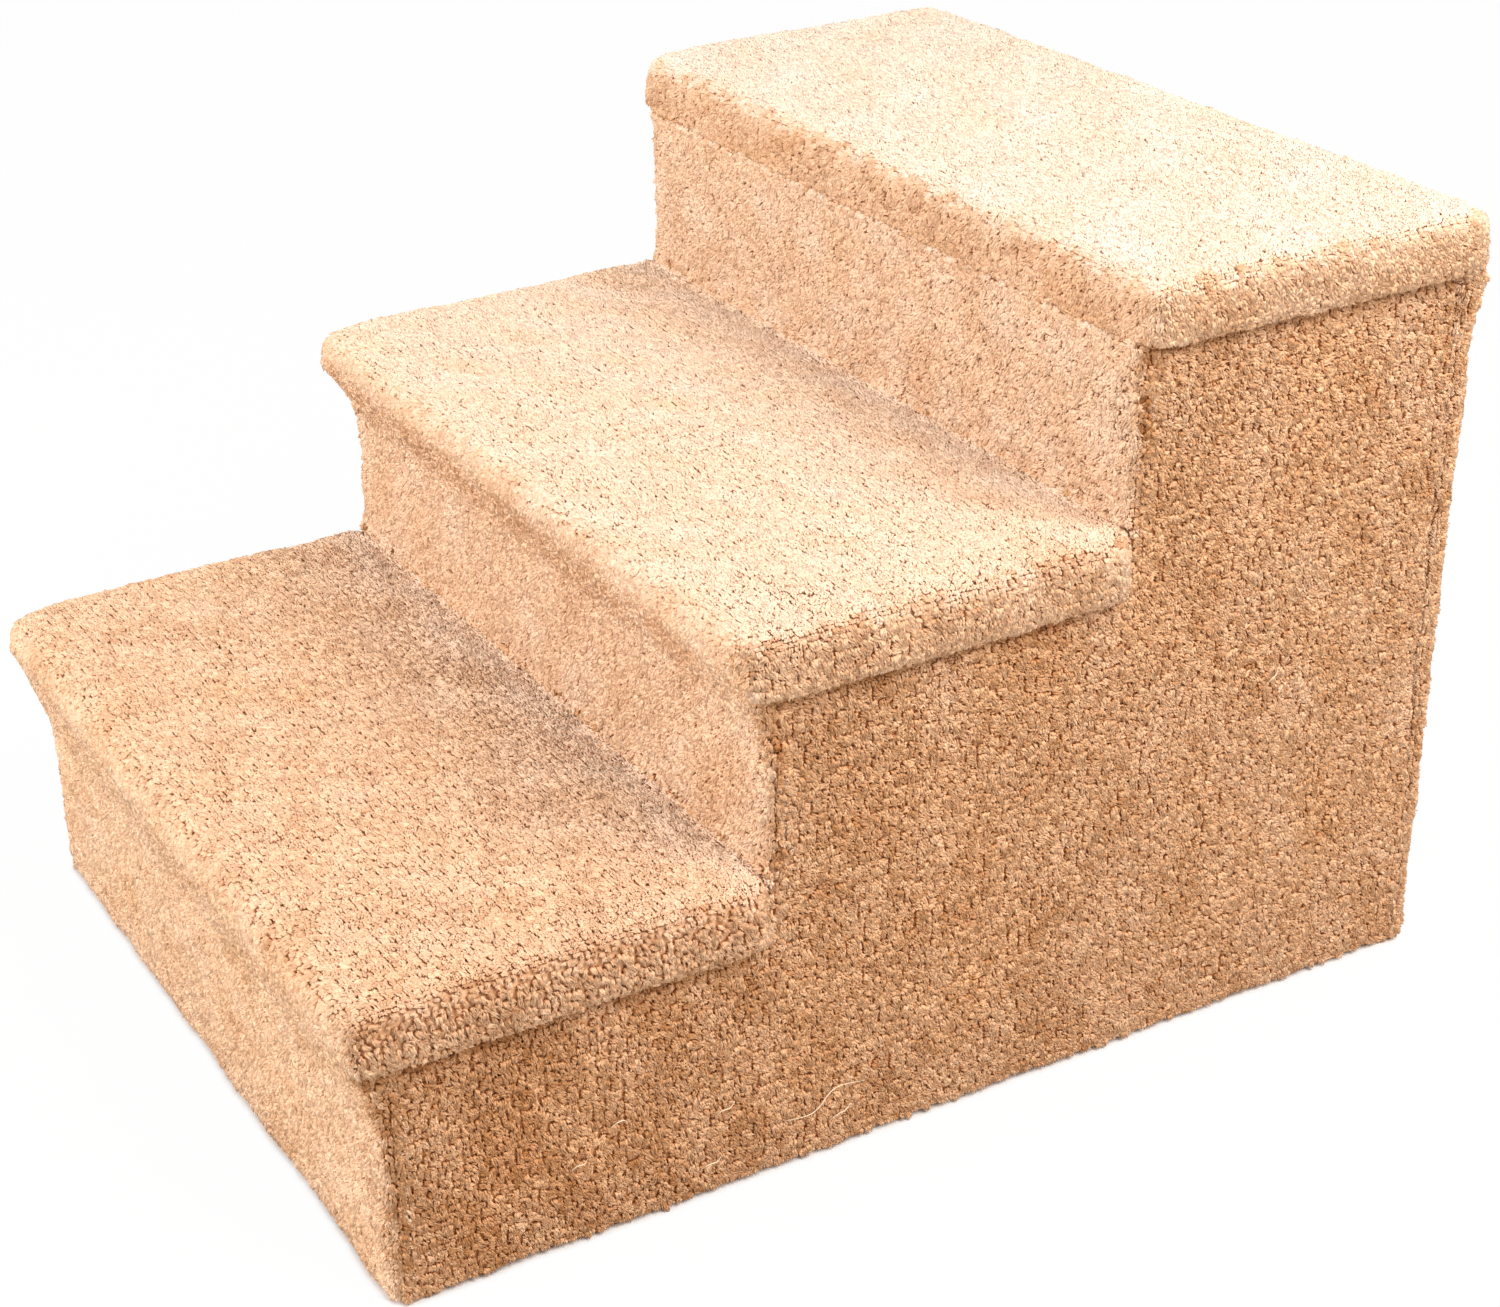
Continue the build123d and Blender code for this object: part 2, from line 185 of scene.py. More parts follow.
def make_mesh(name: str, points: np.ndarray, faces: np.ndarray) -> Object:
    """Make a smooth-shaded mesh object from arrays.

    Args:
        name: the object's name.
        points: places of the points.
        faces: each face's corners as numbers of points, all with as many corners.

    Returns:
        The object, linked into the scene.
    """
    mesh = bpy.data.meshes.new(name)
    mesh.vertices.add(len(points))
    mesh.vertices.foreach_set("co", np.ascontiguousarray(points, dtype=np.float32).ravel())
    mesh.loops.add(faces.size)
    mesh.loops.foreach_set("vertex_index", np.ascontiguousarray(faces, dtype=np.int32).ravel())
    mesh.polygons.add(len(faces))
    starts = np.arange(0, faces.size, faces.shape[1], dtype=np.int32)
    mesh.polygons.foreach_set("loop_start", starts)
    mesh.update(calc_edges=True)
    mesh.shade_smooth()
    piece = bpy.data.objects.new(name, mesh)
    bpy.context.scene.collection.objects.link(piece)
    return piece


def unit(vectors: np.ndarray) -> np.ndarray:
    """Vectors of length one, the same way as the given ones."""
    return vectors / np.maximum(np.linalg.norm(vectors, axis=-1, keepdims=True), 1e-12)


def smooth_step(values: np.ndarray, low: float, high: float) -> np.ndarray:
    """Share from 0 at low to 1 at high, with soft ends."""
    share = np.clip((values - low) / (high - low), 0, 1)
    return share * share * (3 - 2 * share)


def ripple(points: np.ndarray, length: float, seed: int) -> np.ndarray:
    """Soft uneven waves through space.

    Args:
        points: where to read the waves.
        length: about how long a wave is.
        seed: picks the waves.

    Returns:
        One height for each point, mostly between -1 and 1.
    """
    wave_count = 7
    shortest, longest = 0.7, 1.5
    chance = np.random.default_rng(seed)
    height = np.zeros(len(points))
    for _ in range(wave_count):
        direction = unit(chance.normal(size=3))
        turns = points @ direction / (length * chance.uniform(shortest, longest))
        height += np.sin(2 * math.pi * (turns + chance.uniform()))
    return height / math.sqrt(wave_count)


def ripples(points: np.ndarray, length: float, seed: int) -> np.ndarray:
    """Soft uneven waves, as for ripple, with one for each axis."""
    return np.stack([ripple(points, length, seed + axis) for axis in range(3)], axis=1)


def distance_to_line(points: np.ndarray, line: np.ndarray) -> tuple[np.ndarray, np.ndarray]:
    """Distance from points to a line of straight runs.

    Args:
        points: where to measure from.
        line: the corners of the line.

    Returns:
        Each point's distance, and the way from the line to the point.
    """
    best = np.full(len(points), np.inf)
    away = np.zeros_like(points)
    for start, end in zip(line[:-1], line[1:]):
        run = end - start
        share = np.clip((points - start) @ run / (run @ run), 0, 1)
        offset = points - start - share[:, None] * run
        distance = np.linalg.norm(offset, axis=1)
        nearer = distance < best
        best[nearer] = distance[nearer]
        away[nearer] = offset[nearer]
    return best, unit(away)


@dataclass(frozen=True)
class Lay:
    """How the pile lies, or how far something changes that where it is felt in full.

    Attributes:
        lean: how far the tips lean, as a share of the pile's height.
        scatter: how far each one strays from that, likewise.
        height: share of the pile's usual height.
        thickness: share of the yarn's usual thickness.
        tone: 0 for the deepest tan, 1 for the palest cream.
        clump: how far a tuft's strands draw together, from 0 to 1.
        jitter: how far a tuft strays from its square, as a share of its width.
    """

    lean: float = 0.0
    scatter: float = 0.0
    height: float = 0.0
    thickness: float = 0.0
    tone: float = 0.0
    clump: float = 0.0
    jitter: float = 0.0


# The way that the pile is combed on faces that look one way
COMBS: dict[Facing, Place] = {
    Facing.UP: (0.15, -1.0, 0.0),
    Facing.DOWN: Facing.DOWN.value,
    Facing.FRONT: Facing.DOWN.value,
    Facing.BACK: Facing.DOWN.value,
    Facing.RIGHT: (0.0, 0.3, -1.0),
    Facing.LEFT: (0.0, 0.3, -1.0),
}

# Tone by facing is partly the pile's lay and partly painted light: risers and treads are painted
# paler, sides and undersides deeper, for how the light falls on each facing
LAYS: dict[Facing, Lay] = {
    Facing.UP: Lay(0.5, 0.3, 0.95, 1.08, 0.43, clump=0.14, jitter=0.12),
    Facing.DOWN: Lay(0.0, 0.4, 0.75, 1.0, 0.15, clump=0.14, jitter=0.26),
    Facing.FRONT: Lay(0.55, 0.35, 1.0, 0.9, 0.54, clump=0.06, jitter=0.18),
    Facing.BACK: Lay(0.5, 0.4, 1.0, 1.0, 0.3, clump=0.14, jitter=0.26),
    Facing.RIGHT: Lay(0.45, 0.42, 1.0, 0.9, 0.15, clump=0.14, jitter=0.26),
    Facing.LEFT: Lay(0.45, 0.42, 1.0, 0.9, 0.15, clump=0.14, jitter=0.26),
}


class Zone(Enum):
    """Parts of the carpets where the pile lies otherwise, each with how it differs."""

    # Higher treads are painted paler, painted light that stands in for the stronger light on them,
    # but not in front of a riser, where the pile gets a smaller painted lightening against the
    # riser's shade
    HIGH = Lay(tone=0.39)
    BEFORE_RISER = Lay(thickness=0.08, tone=0.11)
    # Close to a riser no paw reaches the pile, so it stands upright and full, and it is painted
    # paler there as painted light against the shade of the fold
    TUCKED_WITH_PAINTED_LIGHT = Lay(lean=-0.25, scatter=-0.12, thickness=0.1, tone=0.1, clump=-0.12)
    # The wrapped bands at the sides of the treads are painted paler than the sides, the calm ones a
    # little more, as painted light where the light catches the wrapped edge, and have calm tufts,
    # or dragged and open ones
    BAND = Lay(lean=0.35, scatter=0.1, tone=0.14)
    CALM_BAND = Lay(scatter=-0.16, thickness=0.1, tone=0.05, clump=-0.1, jitter=-0.1)
    DRAGGED_BAND = Lay(height=0.12, thickness=-0.16, clump=0.26)
    DRAGGED_EDGE = Lay(clump=0.3)
    FRINGE = Lay(scatter=0.3, clump=0.25)
    # The pile at the front of the sides is more open and deeper in tone
    FLANK = Lay(thickness=-0.1, clump=0.14)
    # The sides are paler towards the back
    PALER_SIDE_REAR = Lay(tone=0.06)
    # Rubbed pile is darker
    WORN = Lay(tone=-0.03)
    # The floor holds the pile of the hem together
    HEM = Lay(clump=-0.1)


@dataclass(frozen=True)
class Crease:
    """A parting, seam or fold where the pile opens along a line, with painted shade in it.

    Attributes:
        line: corners of the line, in millimetres.
        width: how far to each side it is felt, in millimetres.
        depth: how far the carpet dips in it, in millimetres.
        shade: painted shade along it, how much darker its pile is, in steps of tone.
        rough: how untidy its pile is, from 0 to 1 or a little more.
        wander: how far it strays from the line, in millimetres.
        broken: share of the line where the pile has closed over it again.
        gap: reach beyond which no tufts stand, above 1 where they stand all over it.
        wander_length: length of its strays, in millimetres.
        break_length: length of its breaks, in millimetres.
        parting: how strongly tidy pile is combed off the line.
        flattening: share of its height that tidy pile loses.
        scatter: how far untidy pile scatters.
        clump: how far untidy tufts draw together.
        unevenness: how far the height of untidy pile varies, as a share.
        mottle: how far its tone does.
    """

    line: Line = ()
    width: float = 3.0
    depth: float = 1.5
    shade: float = 0.3
    rough: float = 0.25
    wander: float = 0.8
    broken: float = 0.3
    gap: float = 0.75
    wander_length: float = 14.0
    break_length: float = 9.0
    parting: float = 1.5
    flattening: float = 0.25
    scatter: float = 0.8
    clump: float = 0.45
    unevenness: float = 0.3
    mottle: float = 0.08

    def reach(self, points: np.ndarray, seed: int) -> tuple[np.ndarray, np.ndarray]:
        """Measure how strongly the crease is felt.

        Args:
            points: where to measure, in metres.
            seed: picks the places where it is broken.

        Returns:
            A share from 0 to 1 for each point, and the way that leads off the crease.
        """
        strays = ripples(points, self.wander_length * MM, seed + 60)
        shifted = points + self.wander * MM * strays
        distance, away = distance_to_line(shifted, np.array(self.line) * MM)
        share = 1 - smooth_step(distance, 0.0, self.width * MM)
        if self.broken > 0:
            run = ripple(points, self.break_length * MM, seed) + 1.2 - 2.4 * self.broken
            share *= smooth_step(run, -0.3, 0.5)
        return share, away

    def disturb(
        self, lay: dict[str, np.ndarray], reach: np.ndarray, away: np.ndarray, tangle: np.ndarray
    ) -> None:
        """Part the pile along the crease, paint shade into it and make it untidy.

        Args:
            lay: how the pile lies, which is changed.
            reach: how strongly the crease is felt.
            away: the way that leads off it.
            tangle: uneven waves, for untidy pile.
        """
        tidy = max(1 - self.rough, 0) * reach
        untidy = self.rough * reach
        lay["comb"] += self.parting * tidy[:, None] * away
        # Painted shade along the crease
        lay["tone"] -= self.shade * reach
        lay["height"] *= 1 - self.flattening * tidy
        lay["scatter"] += self.scatter * untidy
        lay["clump"] += self.clump * untidy
        lay["height"] *= 1 + self.unevenness * untidy * tangle
        lay["tone"] += self.mottle * untidy * tangle


def mirrored(crease: Crease) -> Crease:
    """The mirror image of a crease about the middle of the stairs."""
    return replace(crease, line=tuple((-x, y, z) for x, y, z in crease.line))


def both_sides(*creases: Crease) -> tuple[Crease, ...]:
    """Creases together with their mirror images."""
    return (*creases, *(mirrored(crease) for crease in creases))


def corner_seam(y: float, high: float, low: float, broken: float) -> Crease:
    """The seam between a riser's carpet and the side's.

    Args:
        y: where it runs, in millimetres.
        high: its top, likewise.
        low: its foot, likewise.
        broken: share of it where the pile has closed over it.

    Returns:
        The seam on the right-hand side.
    """
    line = ((SIDE, y, high), (SIDE, y, low))
    return Crease(line, 6.0, 1.0, shade=0.05, rough=1.0, wander=2.5, broken=broken, gap=2.0)


# The seams are painted darker along their lines, as painted shade in the groove
CORNER_SEAMS = {
    "bottom": corner_seam(-277, 126, 4, 0.9),
    "middle": corner_seam(-82.8, 252, 166, 0.55),
    "top": corner_seam(111.2, 371, 290, 0.55),
}
STRIP_SEAM = Crease(
    ((SIDE + 2, 288, 375), (SIDE + 2, 293, 4)),
    width=5.0,
    depth=0.9,
    shade=0.2,
    rough=0.8,
    wander=1.2,
    broken=0.35,
)
SEAMS = both_sides(*CORNER_SEAMS.values(), STRIP_SEAM)

# The pile at the ends of the two upper risers, rubbed rough on the way round to the side, with a
# little painted shade
RISER_END = Crease(width=9.0, depth=1.6, shade=0.12, rough=1.4, wander=3.0, broken=0.2, gap=2.0)

# The fold under a tread's wrapped side edge, painted darker as painted shadow under the edge, seen
# as a clean dark line on the side
UNDER_BAND = Crease(width=7.0, depth=2.2, shade=0.25, rough=0.0, wander=0.5, broken=0.0, gap=0.7)

# The foot of a riser, where it stands on the tread in front of it, painted darker as painted shade
# in the corner
RISER_FOOT = Crease(depth=1.0, shade=0.5, broken=0.45)

# Small folds in the carpet at the corners of the wrapped side edges, with painted shade in them
CORNER_FOLD = Crease(depth=0.8, gap=2.0)


@dataclass(frozen=True)
class Yarn:
    """Twisted nylon yarn, cut to one height and standing in tufts.

    Attributes:
        pitch: distance from tuft to tuft, which is also the net of the carpet's shell.
        rows: strands along each side of a tuft's square.
        half_width: half of a strand's width, at its shoulders.
        widths: the thinnest and thickest strand, as shares of that.
        shoulder: where a strand is widest, as a share of its height.
        pile: height of the pile that shows.
        stray: how far a strand's foot strays from its place, as a share of their spacing.
        clump_stray: how far drawn-together strands stray as one, as a share of their square.
        sink: how deep a strand's foot sits in the shell.
        kinship: how far the strands of a tuft stray together.
        scatter_gain: how far they lean for their scatter.
        most_bend: how far a tip may lean, as a share of the pile's height.
        least_bend: how strongly upright strands keep to the way that they are combed.
        uneven_strands: how far the height of strands varies, as a share.
        uneven_tufts: how far that of whole tufts does.
        cut_slant: how far the cut end slants, as a share of the strand's height.
        shoulder_lean: how far the shoulders lean, as a share of the tip's bend.
        tip_lean: how far the tip leans, likewise.
        shoulder_back: how far the shoulders stand back, as a share of half the width.
        tip_forward: how far the tip stands forward, likewise.
        tuft_luck: how far the chance that picks the colour varies from tuft to tuft.
        strand_luck: how far it varies from strand to strand.
        most: most tufts in one piece.
    """

    pitch: float = 3.2 * MM
    rows: int = 3
    half_width: float = 0.78 * MM
    widths: tuple[float, float] = (0.75, 1.2)
    shoulder: float = 0.72
    pile: float = 2.8 * MM
    stray: float = 0.42
    clump_stray: float = 0.3
    sink: float = 0.8 * MM
    kinship: float = 0.6
    scatter_gain: float = 1.3
    most_bend: float = 1.1
    least_bend: float = 0.05
    uneven_strands: float = 0.06
    uneven_tufts: float = 0.09
    cut_slant: float = 0.14
    shoulder_lean: float = 0.1
    tip_lean: float = 0.85
    shoulder_back: float = 0.35
    tip_forward: float = 0.5
    tuft_luck: float = 0.24
    strand_luck: float = 0.25
    most: int = 5400

    @property
    def plies(self) -> int:
        """Strands in each tuft."""
        return self.rows * self.rows

    def feet(
        self,
        squares: np.ndarray,
        clump: np.ndarray,
        jitter: np.ndarray,
        chance: np.random.Generator,
    ) -> np.ndarray:
        """Spread the feet of the strands over their squares of the net.

        Args:
            squares: the four corners of each square.
            clump: how far each tuft's strands draw together, from 0 to 1.
            jitter: how far each tuft strays from its square, as a share of its width.
            chance: gives each foot its stray.

        Returns:
            The place of each foot, tuft by tuft.
        """
        count = len(squares)
        cells = (np.arange(self.rows) + 0.5) / self.rows
        across, along = np.meshgrid(cells, cells)
        spots = np.stack([across.ravel(), along.ravel()], axis=1)[None]
        spots = spots + chance.uniform(-1, 1, (count, self.plies, 2)) * self.stray / self.rows
        spots = 0.5 + (spots - 0.5) * (1 - clump)[:, None, None]
        spots += chance.normal(0, self.clump_stray, (count, 1, 2)) * clump[:, None, None]
        spots += chance.uniform(-1, 1, (count, 1, 2)) * jitter[:, None, None]
        u, v = spots[..., :1], spots[..., 1:]
        corner = squares[:, None]
        places = (1 - u) * (1 - v) * corner[:, :, 0] + u * (1 - v) * corner[:, :, 1]
        places += u * v * corner[:, :, 2] + (1 - u) * v * corner[:, :, 3]
        return places.reshape(-1, 3)

    def bends(
        self,
        out: np.ndarray,
        each: dict[str, np.ndarray],
        together: np.ndarray,
        chance: np.random.Generator,
    ) -> tuple[np.ndarray, np.ndarray]:
        """Work out how far each strand leans.

        Args:
            out: the way out of the carpet at each strand.
            each: how each strand lies.
            together: four chances that the strands of a tuft share.
            chance: gives each strand its own stray.

        Returns:
            How far its tip leans, as shares of its height, and the way that it leans.
        """
        comb = unit(each["comb"] - out * (each["comb"] * out).sum(1, keepdims=True))
        across = np.cross(out, comb)
        alone = chance.normal(0, 1, (len(out), 2))
        stray = self.kinship * together[:, :2] + (1 - self.kinship) * alone
        stray *= self.scatter_gain * each["scatter"][:, None]
        bend = each["lean"][:, None] * comb + stray[:, :1] * comb + stray[:, 1:] * across
        bend /= np.maximum(1, np.linalg.norm(bend, axis=1, keepdims=True) / self.most_bend)
        return bend, unit(bend + self.least_bend * comb)

    def wedges(
        self,
        foot: np.ndarray,
        out: np.ndarray,
        each: dict[str, np.ndarray],
        together: np.ndarray,
        chance: np.random.Generator,
    ) -> np.ndarray:
        """Shape each strand as a slim wedge with a slanting cut end.

        Args:
            foot: the place of each strand's foot.
            out: the way out of the carpet there.
            each: how each strand lies.
            together: four chances that the strands of a tuft share.
            chance: gives each strand its own size.

        Returns:
            The foot, both shoulders and the tip of each strand.
        """
        count = len(foot)
        bend, way = self.bends(out, each, together, chance)
        wide = np.cross(out, way)
        height = self.pile * each["height"]
        height *= chance.normal(1, self.uneven_strands, count).clip(0.85, 1.15)
        height *= (1 + self.uneven_tufts * together[:, 2]).clip(0.8, 1.2)
        half_width = self.half_width * each["thickness"] * chance.uniform(*self.widths, count)
        base = foot - out * self.sink
        rise = (self.sink + height)[:, None]
        middle = base + out * rise * self.shoulder + bend * height[:, None] * self.shoulder_lean
        middle -= way * (self.shoulder_back * half_width)[:, None]
        tilt = chance.normal(0, self.cut_slant, (count, 1)) * rise * out

        points = np.empty((count, 4, 3))
        points[:, 0] = base
        points[:, 1] = middle - wide * half_width[:, None] - tilt
        points[:, 2] = middle + wide * half_width[:, None] + tilt
        points[:, 3] = base + out * rise + bend * height[:, None] * self.tip_lean
        points[:, 3] += way * (self.tip_forward * half_width)[:, None]
        above_floor = 0.05 * MM
        points[..., 2] = np.maximum(points[..., 2], above_floor)
        return points

    def strands(
        self, squares: np.ndarray, normals: np.ndarray, lay: dict[str, np.ndarray], seed: int
    ) -> tuple[np.ndarray, np.ndarray, np.ndarray]:
        """Build the strands of many tufts.

        Args:
            squares: the four corners of each tuft's square.
            normals: the way out of the carpet there.
            lay: an array for each name in Lay, and "comb", the way that the tips lean.
            seed: picks each strand's chances.

        Returns:
            Points with four to a strand, faces, and three values for each point: its
            height from foot to tip, its strand's chance and its tone.
        """
        chance = np.random.default_rng(seed)
        foot = self.feet(squares, lay["clump"], lay["jitter"], chance)
        count = len(foot)
        out = np.repeat(normals, self.plies, axis=0)
        each = {name: np.repeat(values, self.plies, axis=0) for name, values in lay.items()}
        together = np.repeat(chance.normal(0, 1, (len(squares), 4)), self.plies, axis=0)
        points = self.wedges(foot, out, each, together, chance)

        pattern = [(1, 3, 2), (0, 1, 2), (0, 2, 3), (0, 3, 1)]
        faces = (np.array(pattern)[None] + 4 * np.arange(count)[:, None, None]).reshape(-1, 3)

        luck = 0.5 + self.tuft_luck * together[:, 3]
        luck += self.strand_luck * chance.uniform(-1, 1, count)
        values = np.empty((count, 4, 3))
        values[..., 0] = (0.0, self.shoulder, self.shoulder, 1.0)
        values[..., 1] = luck.clip(0, 1)[:, None]
        values[..., 2] = each["tone"][:, None]
        return points.reshape(-1, 3), faces, values.reshape(-1, 3)

    def map_of(self, strand_count: int) -> np.ndarray:
        """Lay strands out on a map, each in a small square of its own.

        Args:
            strand_count: how many strands there are.

        Returns:
            A place on the map for each of their points.
        """
        side = math.ceil(math.sqrt(strand_count))
        number = np.arange(strand_count)
        square = np.stack([number % side, number // side], axis=1)[:, None]
        spots = [(0.5, 0.15), (0.2, 0.6), (0.8, 0.6), (0.5, 0.85)]
        return ((square + np.array(spots)) / side).reshape(-1, 2)


@dataclass(frozen=True)
class CutPile:
    """Cut pile of heat-set nylon yarn, sheared and brushed.

    The eye sees matt tips that catch a soft light, a darker foot between them that is painted
    shade, and faint pink and yellow patches where the pile lies another way.
    """

    shaded: str = "#A9713F"
    deep: str = "#EBC098"
    tan: str = "#F6D4B5"
    cream: str = "#FCEADB"
    umber: str = "#AA7142"
    foot: str = "#DA9857"
    blush: str = "#EDB9A4"
    patch_mm: float = 50.0
    fibre_mm: float = 0.5

    def yarn_colour(self, tree: NodeTree, place: NodeSocket, tone: NodeSocket) -> Node:
        """Colour the yarn by its tone, with soft patches of blush.

        Args:
            tree: the material's node tree.
            place: the place in the stairs.
            tone: the yarn's tone.

        Returns:
            The node that gives the colour.
        """
        ramp = add_node(tree, "ValToRGB", {"Fac": tone})
        stops = ramp.color_ramp.elements
        stops[0].color = linear(self.shaded)
        stops[1].color = linear(self.cream)
        stops.new(0.14).color = linear(self.deep)
        stops.new(0.5).color = linear(self.tan)
        scale = 1 / (self.patch_mm * MM)
        patches = add_node(tree, "TexNoise", {"Vector": place, "Scale": scale, "Detail": 2.0})
        most = add_node(tree, "MapRange", {"Value": tone, "To Min": 0.45, "To Max": 0.05})
        share = add_node(
            tree, "MapRange", {"Value": patches, "From Min": 0.45, "From Max": 0.7, "To Max": most}
        )
        return add_node(
            tree,
            "Mix",
            {"Factor": share, MIX_A: ramp, MIX_B: self.blush},
            data_type="RGBA",
            blend_type="SOFT_LIGHT",
        )

    def material(self) -> Material:
        """Build the material, which reads the values that Yarn.strands gives each point.

        Returns:
            The material.
        """
        material, tree = new_material("heat_set_nylon_cut_pile")
        values = add_node(tree, "Attribute", attribute_name=PILE_VALUES)
        height, chance, tone = add_node(tree, "SeparateColor", {"Color": values}).outputs
        place = add_node(tree, "TexCoord").outputs["Object"]
        colour = self.yarn_colour(tree, place, tone)
        deepest = add_node(
            tree, "MapRange", {"Value": tone, "From Max": 0.6, "To Min": 1.0, "To Max": 0.12}
        )
        depth = add_node(tree, "MapRange", {"Value": chance, "To Min": deepest, "To Max": 0.0})
        strand = add_node(
            tree, "Mix", {"Factor": depth, MIX_A: colour, MIX_B: self.umber}, data_type="RGBA"
        )
        fibres = add_node(tree, "TexNoise", {"Vector": place, "Scale": 1 / (self.fibre_mm * MM)})
        paler_and_darker = {"From Min": 0.3, "From Max": 0.7, "To Min": 0.88, "To Max": 1.14}
        fleck = add_node(tree, "MapRange", {"Value": fibres, **paler_and_darker})
        varied = add_node(tree, "VectorMath", {0: strand, "Scale": fleck}, operation="SCALE")
        # Painted shade: each strand is coloured darker towards its foot, the less so the paler its
        # tone
        least = add_node(tree, "MapRange", {"Value": tone, "To Min": 0.0, "To Max": 0.8})
        rise = add_node(
            tree,
            "MapRange",
            {"Value": height, "From Min": 0.2, "From Max": 0.95, "To Min": least},
            interpolation_type="SMOOTHSTEP",
        )
        shaded = add_node(
            tree, "Mix", {"Factor": rise, MIX_A: self.foot, MIX_B: varied}, data_type="RGBA"
        )
        bump = add_node(tree, "Bump", {"Strength": 0.4, "Distance": 0.1 * MM, "Height": fibres})
        finish_surface(
            tree,
            {"Base Color": shaded, "Roughness": 0.9, "Specular IOR Level": 0.05, "Normal": bump},
        )
        return material


@dataclass(frozen=True)
class PileFloor:
    """The foot of the pile on its woven backing, seen only between the tufts.

    The eye sees a dull brown, painted shade that makes the gaps between the strands read as deep,
    turning dark brown as painted shade in creases and seams, and paler with the tone.
    """

    dark: str = "#7E4F28"
    brown: str = "#C98A4F"
    light_brown: str = "#DBA266"
    cream: str = "#F3DFC8"
    tuft_mm: float = 3.2

    def material(self) -> Material:
        """Build the material.

        Returns:
            The material.
        """
        material, tree = new_material("pile_floor_on_woven_backing")
        place = add_node(tree, "TexCoord").outputs["Object"]
        cells = add_node(tree, "TexVoronoi", {"Vector": place, "Scale": 1 / (self.tuft_mm * MM)})
        colour = add_node(
            tree,
            "Mix",
            {"Factor": cells, MIX_A: self.light_brown, MIX_B: self.brown},
            data_type="RGBA",
        )
        values = add_node(tree, "Attribute", attribute_name=PILE_VALUES)
        tone = add_node(tree, "SeparateColor", {"Color": values}).outputs["Blue"]
        # Where the tone falls below the deepest tan the shell turns dark brown: painted shade in
        # creases, seams and just above the floor, and also at the deeper front of the sides
        painted_shade_share = add_node(
            tree, "MapRange", {"Value": tone, "From Max": 0.14, "To Min": 1.0, "To Max": 0.0}
        )
        for share, tint in ((painted_shade_share, self.dark), (tone, self.cream)):
            colour = add_node(
                tree, "Mix", {"Factor": share, MIX_A: colour, MIX_B: tint}, data_type="RGBA"
            )
        bump = add_node(
            tree, "Bump", {"Strength": 0.6, "Distance": 0.5 * MM, "Height": cells}, invert=True
        )
        finish_surface(
            tree,
            {"Base Color": colour, "Roughness": 0.95, "Specular IOR Level": 0.1, "Normal": bump},
        )
        return material


@dataclass(frozen=True)
class Plywood:
    """Birch-faced plywood, sanded and left raw, with its plies showing on cut edges.

    The eye sees pale, lazy veneer grain on the faces and light and dark plies at the rims.
    """

    thickness: Axis
    grain: Axis
    first_ply: float
    face: str = "#D8B88A"
    grain_line: str = "#B78F5E"
    dark_ply: str = "#9C7448"
    pale_ply: str = "#E0C49A"
    ply_mm: float = 2.4
    figure_mm: float = 22.0
    vessel_mm: float = 1.6
    grain_stretch: float = 18.0

    def veneer(self, tree: NodeTree, place: NodeSocket) -> tuple[Node, Node]:
        """Draw the grain of the face veneer.

        Args:
            tree: the material's node tree.
            place: the place in the stairs.

        Returns:
            The nodes that give its colour and its vessels.
        """
        squash = [1.0, 1.0, 1.0]
        squash[self.grain.value] = 1 / self.grain_stretch
        along = add_node(tree, "Mapping", {"Vector": place, "Scale": squash}, vector_type="POINT")
        lazy, fine = (
            add_node(tree, "TexNoise", {"Vector": along, "Scale": 1 / (size * MM), **more})
            for size, more in (
                (self.figure_mm, {"Detail": 3.0, "Distortion": 1.5}),
                (self.vessel_mm, {"Detail": 4.0}),
            )
        )
        figure = add_node(tree, "Math", {0: lazy, 1: fine}, operation="MULTIPLY")
        spread = add_node(tree, "MapRange", {"Value": figure, "From Min": 0.12, "From Max": 0.42})
        colour = add_node(
            tree,
            "Mix",
            {"Factor": spread, MIX_A: self.grain_line, MIX_B: self.face},
            data_type="RGBA",
        )
        return colour, fine

    def plies(self, tree: NodeTree, place: NodeSocket) -> Node:
        """Draw the plies of a cut edge.

        Args:
            tree: the material's node tree.
            place: the place in the stairs.

        Returns:
            The node that gives their colour.
        """
        ply = self.ply_mm * MM
        across = add_node(tree, "SeparateXYZ", {"Vector": place}).outputs[self.thickness.value]
        depth = add_node(tree, "Math", {0: across, 1: self.first_ply}, operation="SUBTRACT")
        turn = add_node(tree, "Math", {0: depth, 1: ply}, operation="PINGPONG")
        share = add_node(
            tree, "MapRange", {"Value": turn, "From Min": 0.4 * ply, "From Max": 0.6 * ply}
        )
        return add_node(
            tree,
            "Mix",
            {"Factor": share, MIX_A: self.pale_ply, MIX_B: self.dark_ply},
            data_type="RGBA",
        )

    def material(self) -> Material:
        """Build the material for boards that lie one way.

        Returns:
            The material.
        """
        material, tree = new_material("raw_birch_plywood_" + self.thickness.name.lower())
        place = add_node(tree, "TexCoord").outputs["Object"]
        face, vessels = self.veneer(tree, place)
        edge = self.plies(tree, place)
        normal = add_node(tree, "NewGeometry").outputs["Normal"]
        way = add_node(tree, "SeparateXYZ", {"Vector": normal}).outputs[self.thickness.value]
        facing = add_node(tree, "Math", {0: way}, operation="ABSOLUTE")
        colour = add_node(
            tree, "Mix", {"Factor": facing, MIX_A: edge, MIX_B: face}, data_type="RGBA"
        )
        bump = add_node(tree, "Bump", {"Strength": 0.35, "Distance": 0.15 * MM, "Height": vessels})
        finish_surface(
            tree,
            {"Base Color": colour, "Roughness": 0.72, "Specular IOR Level": 0.35, "Normal": bump},
        )
        return material


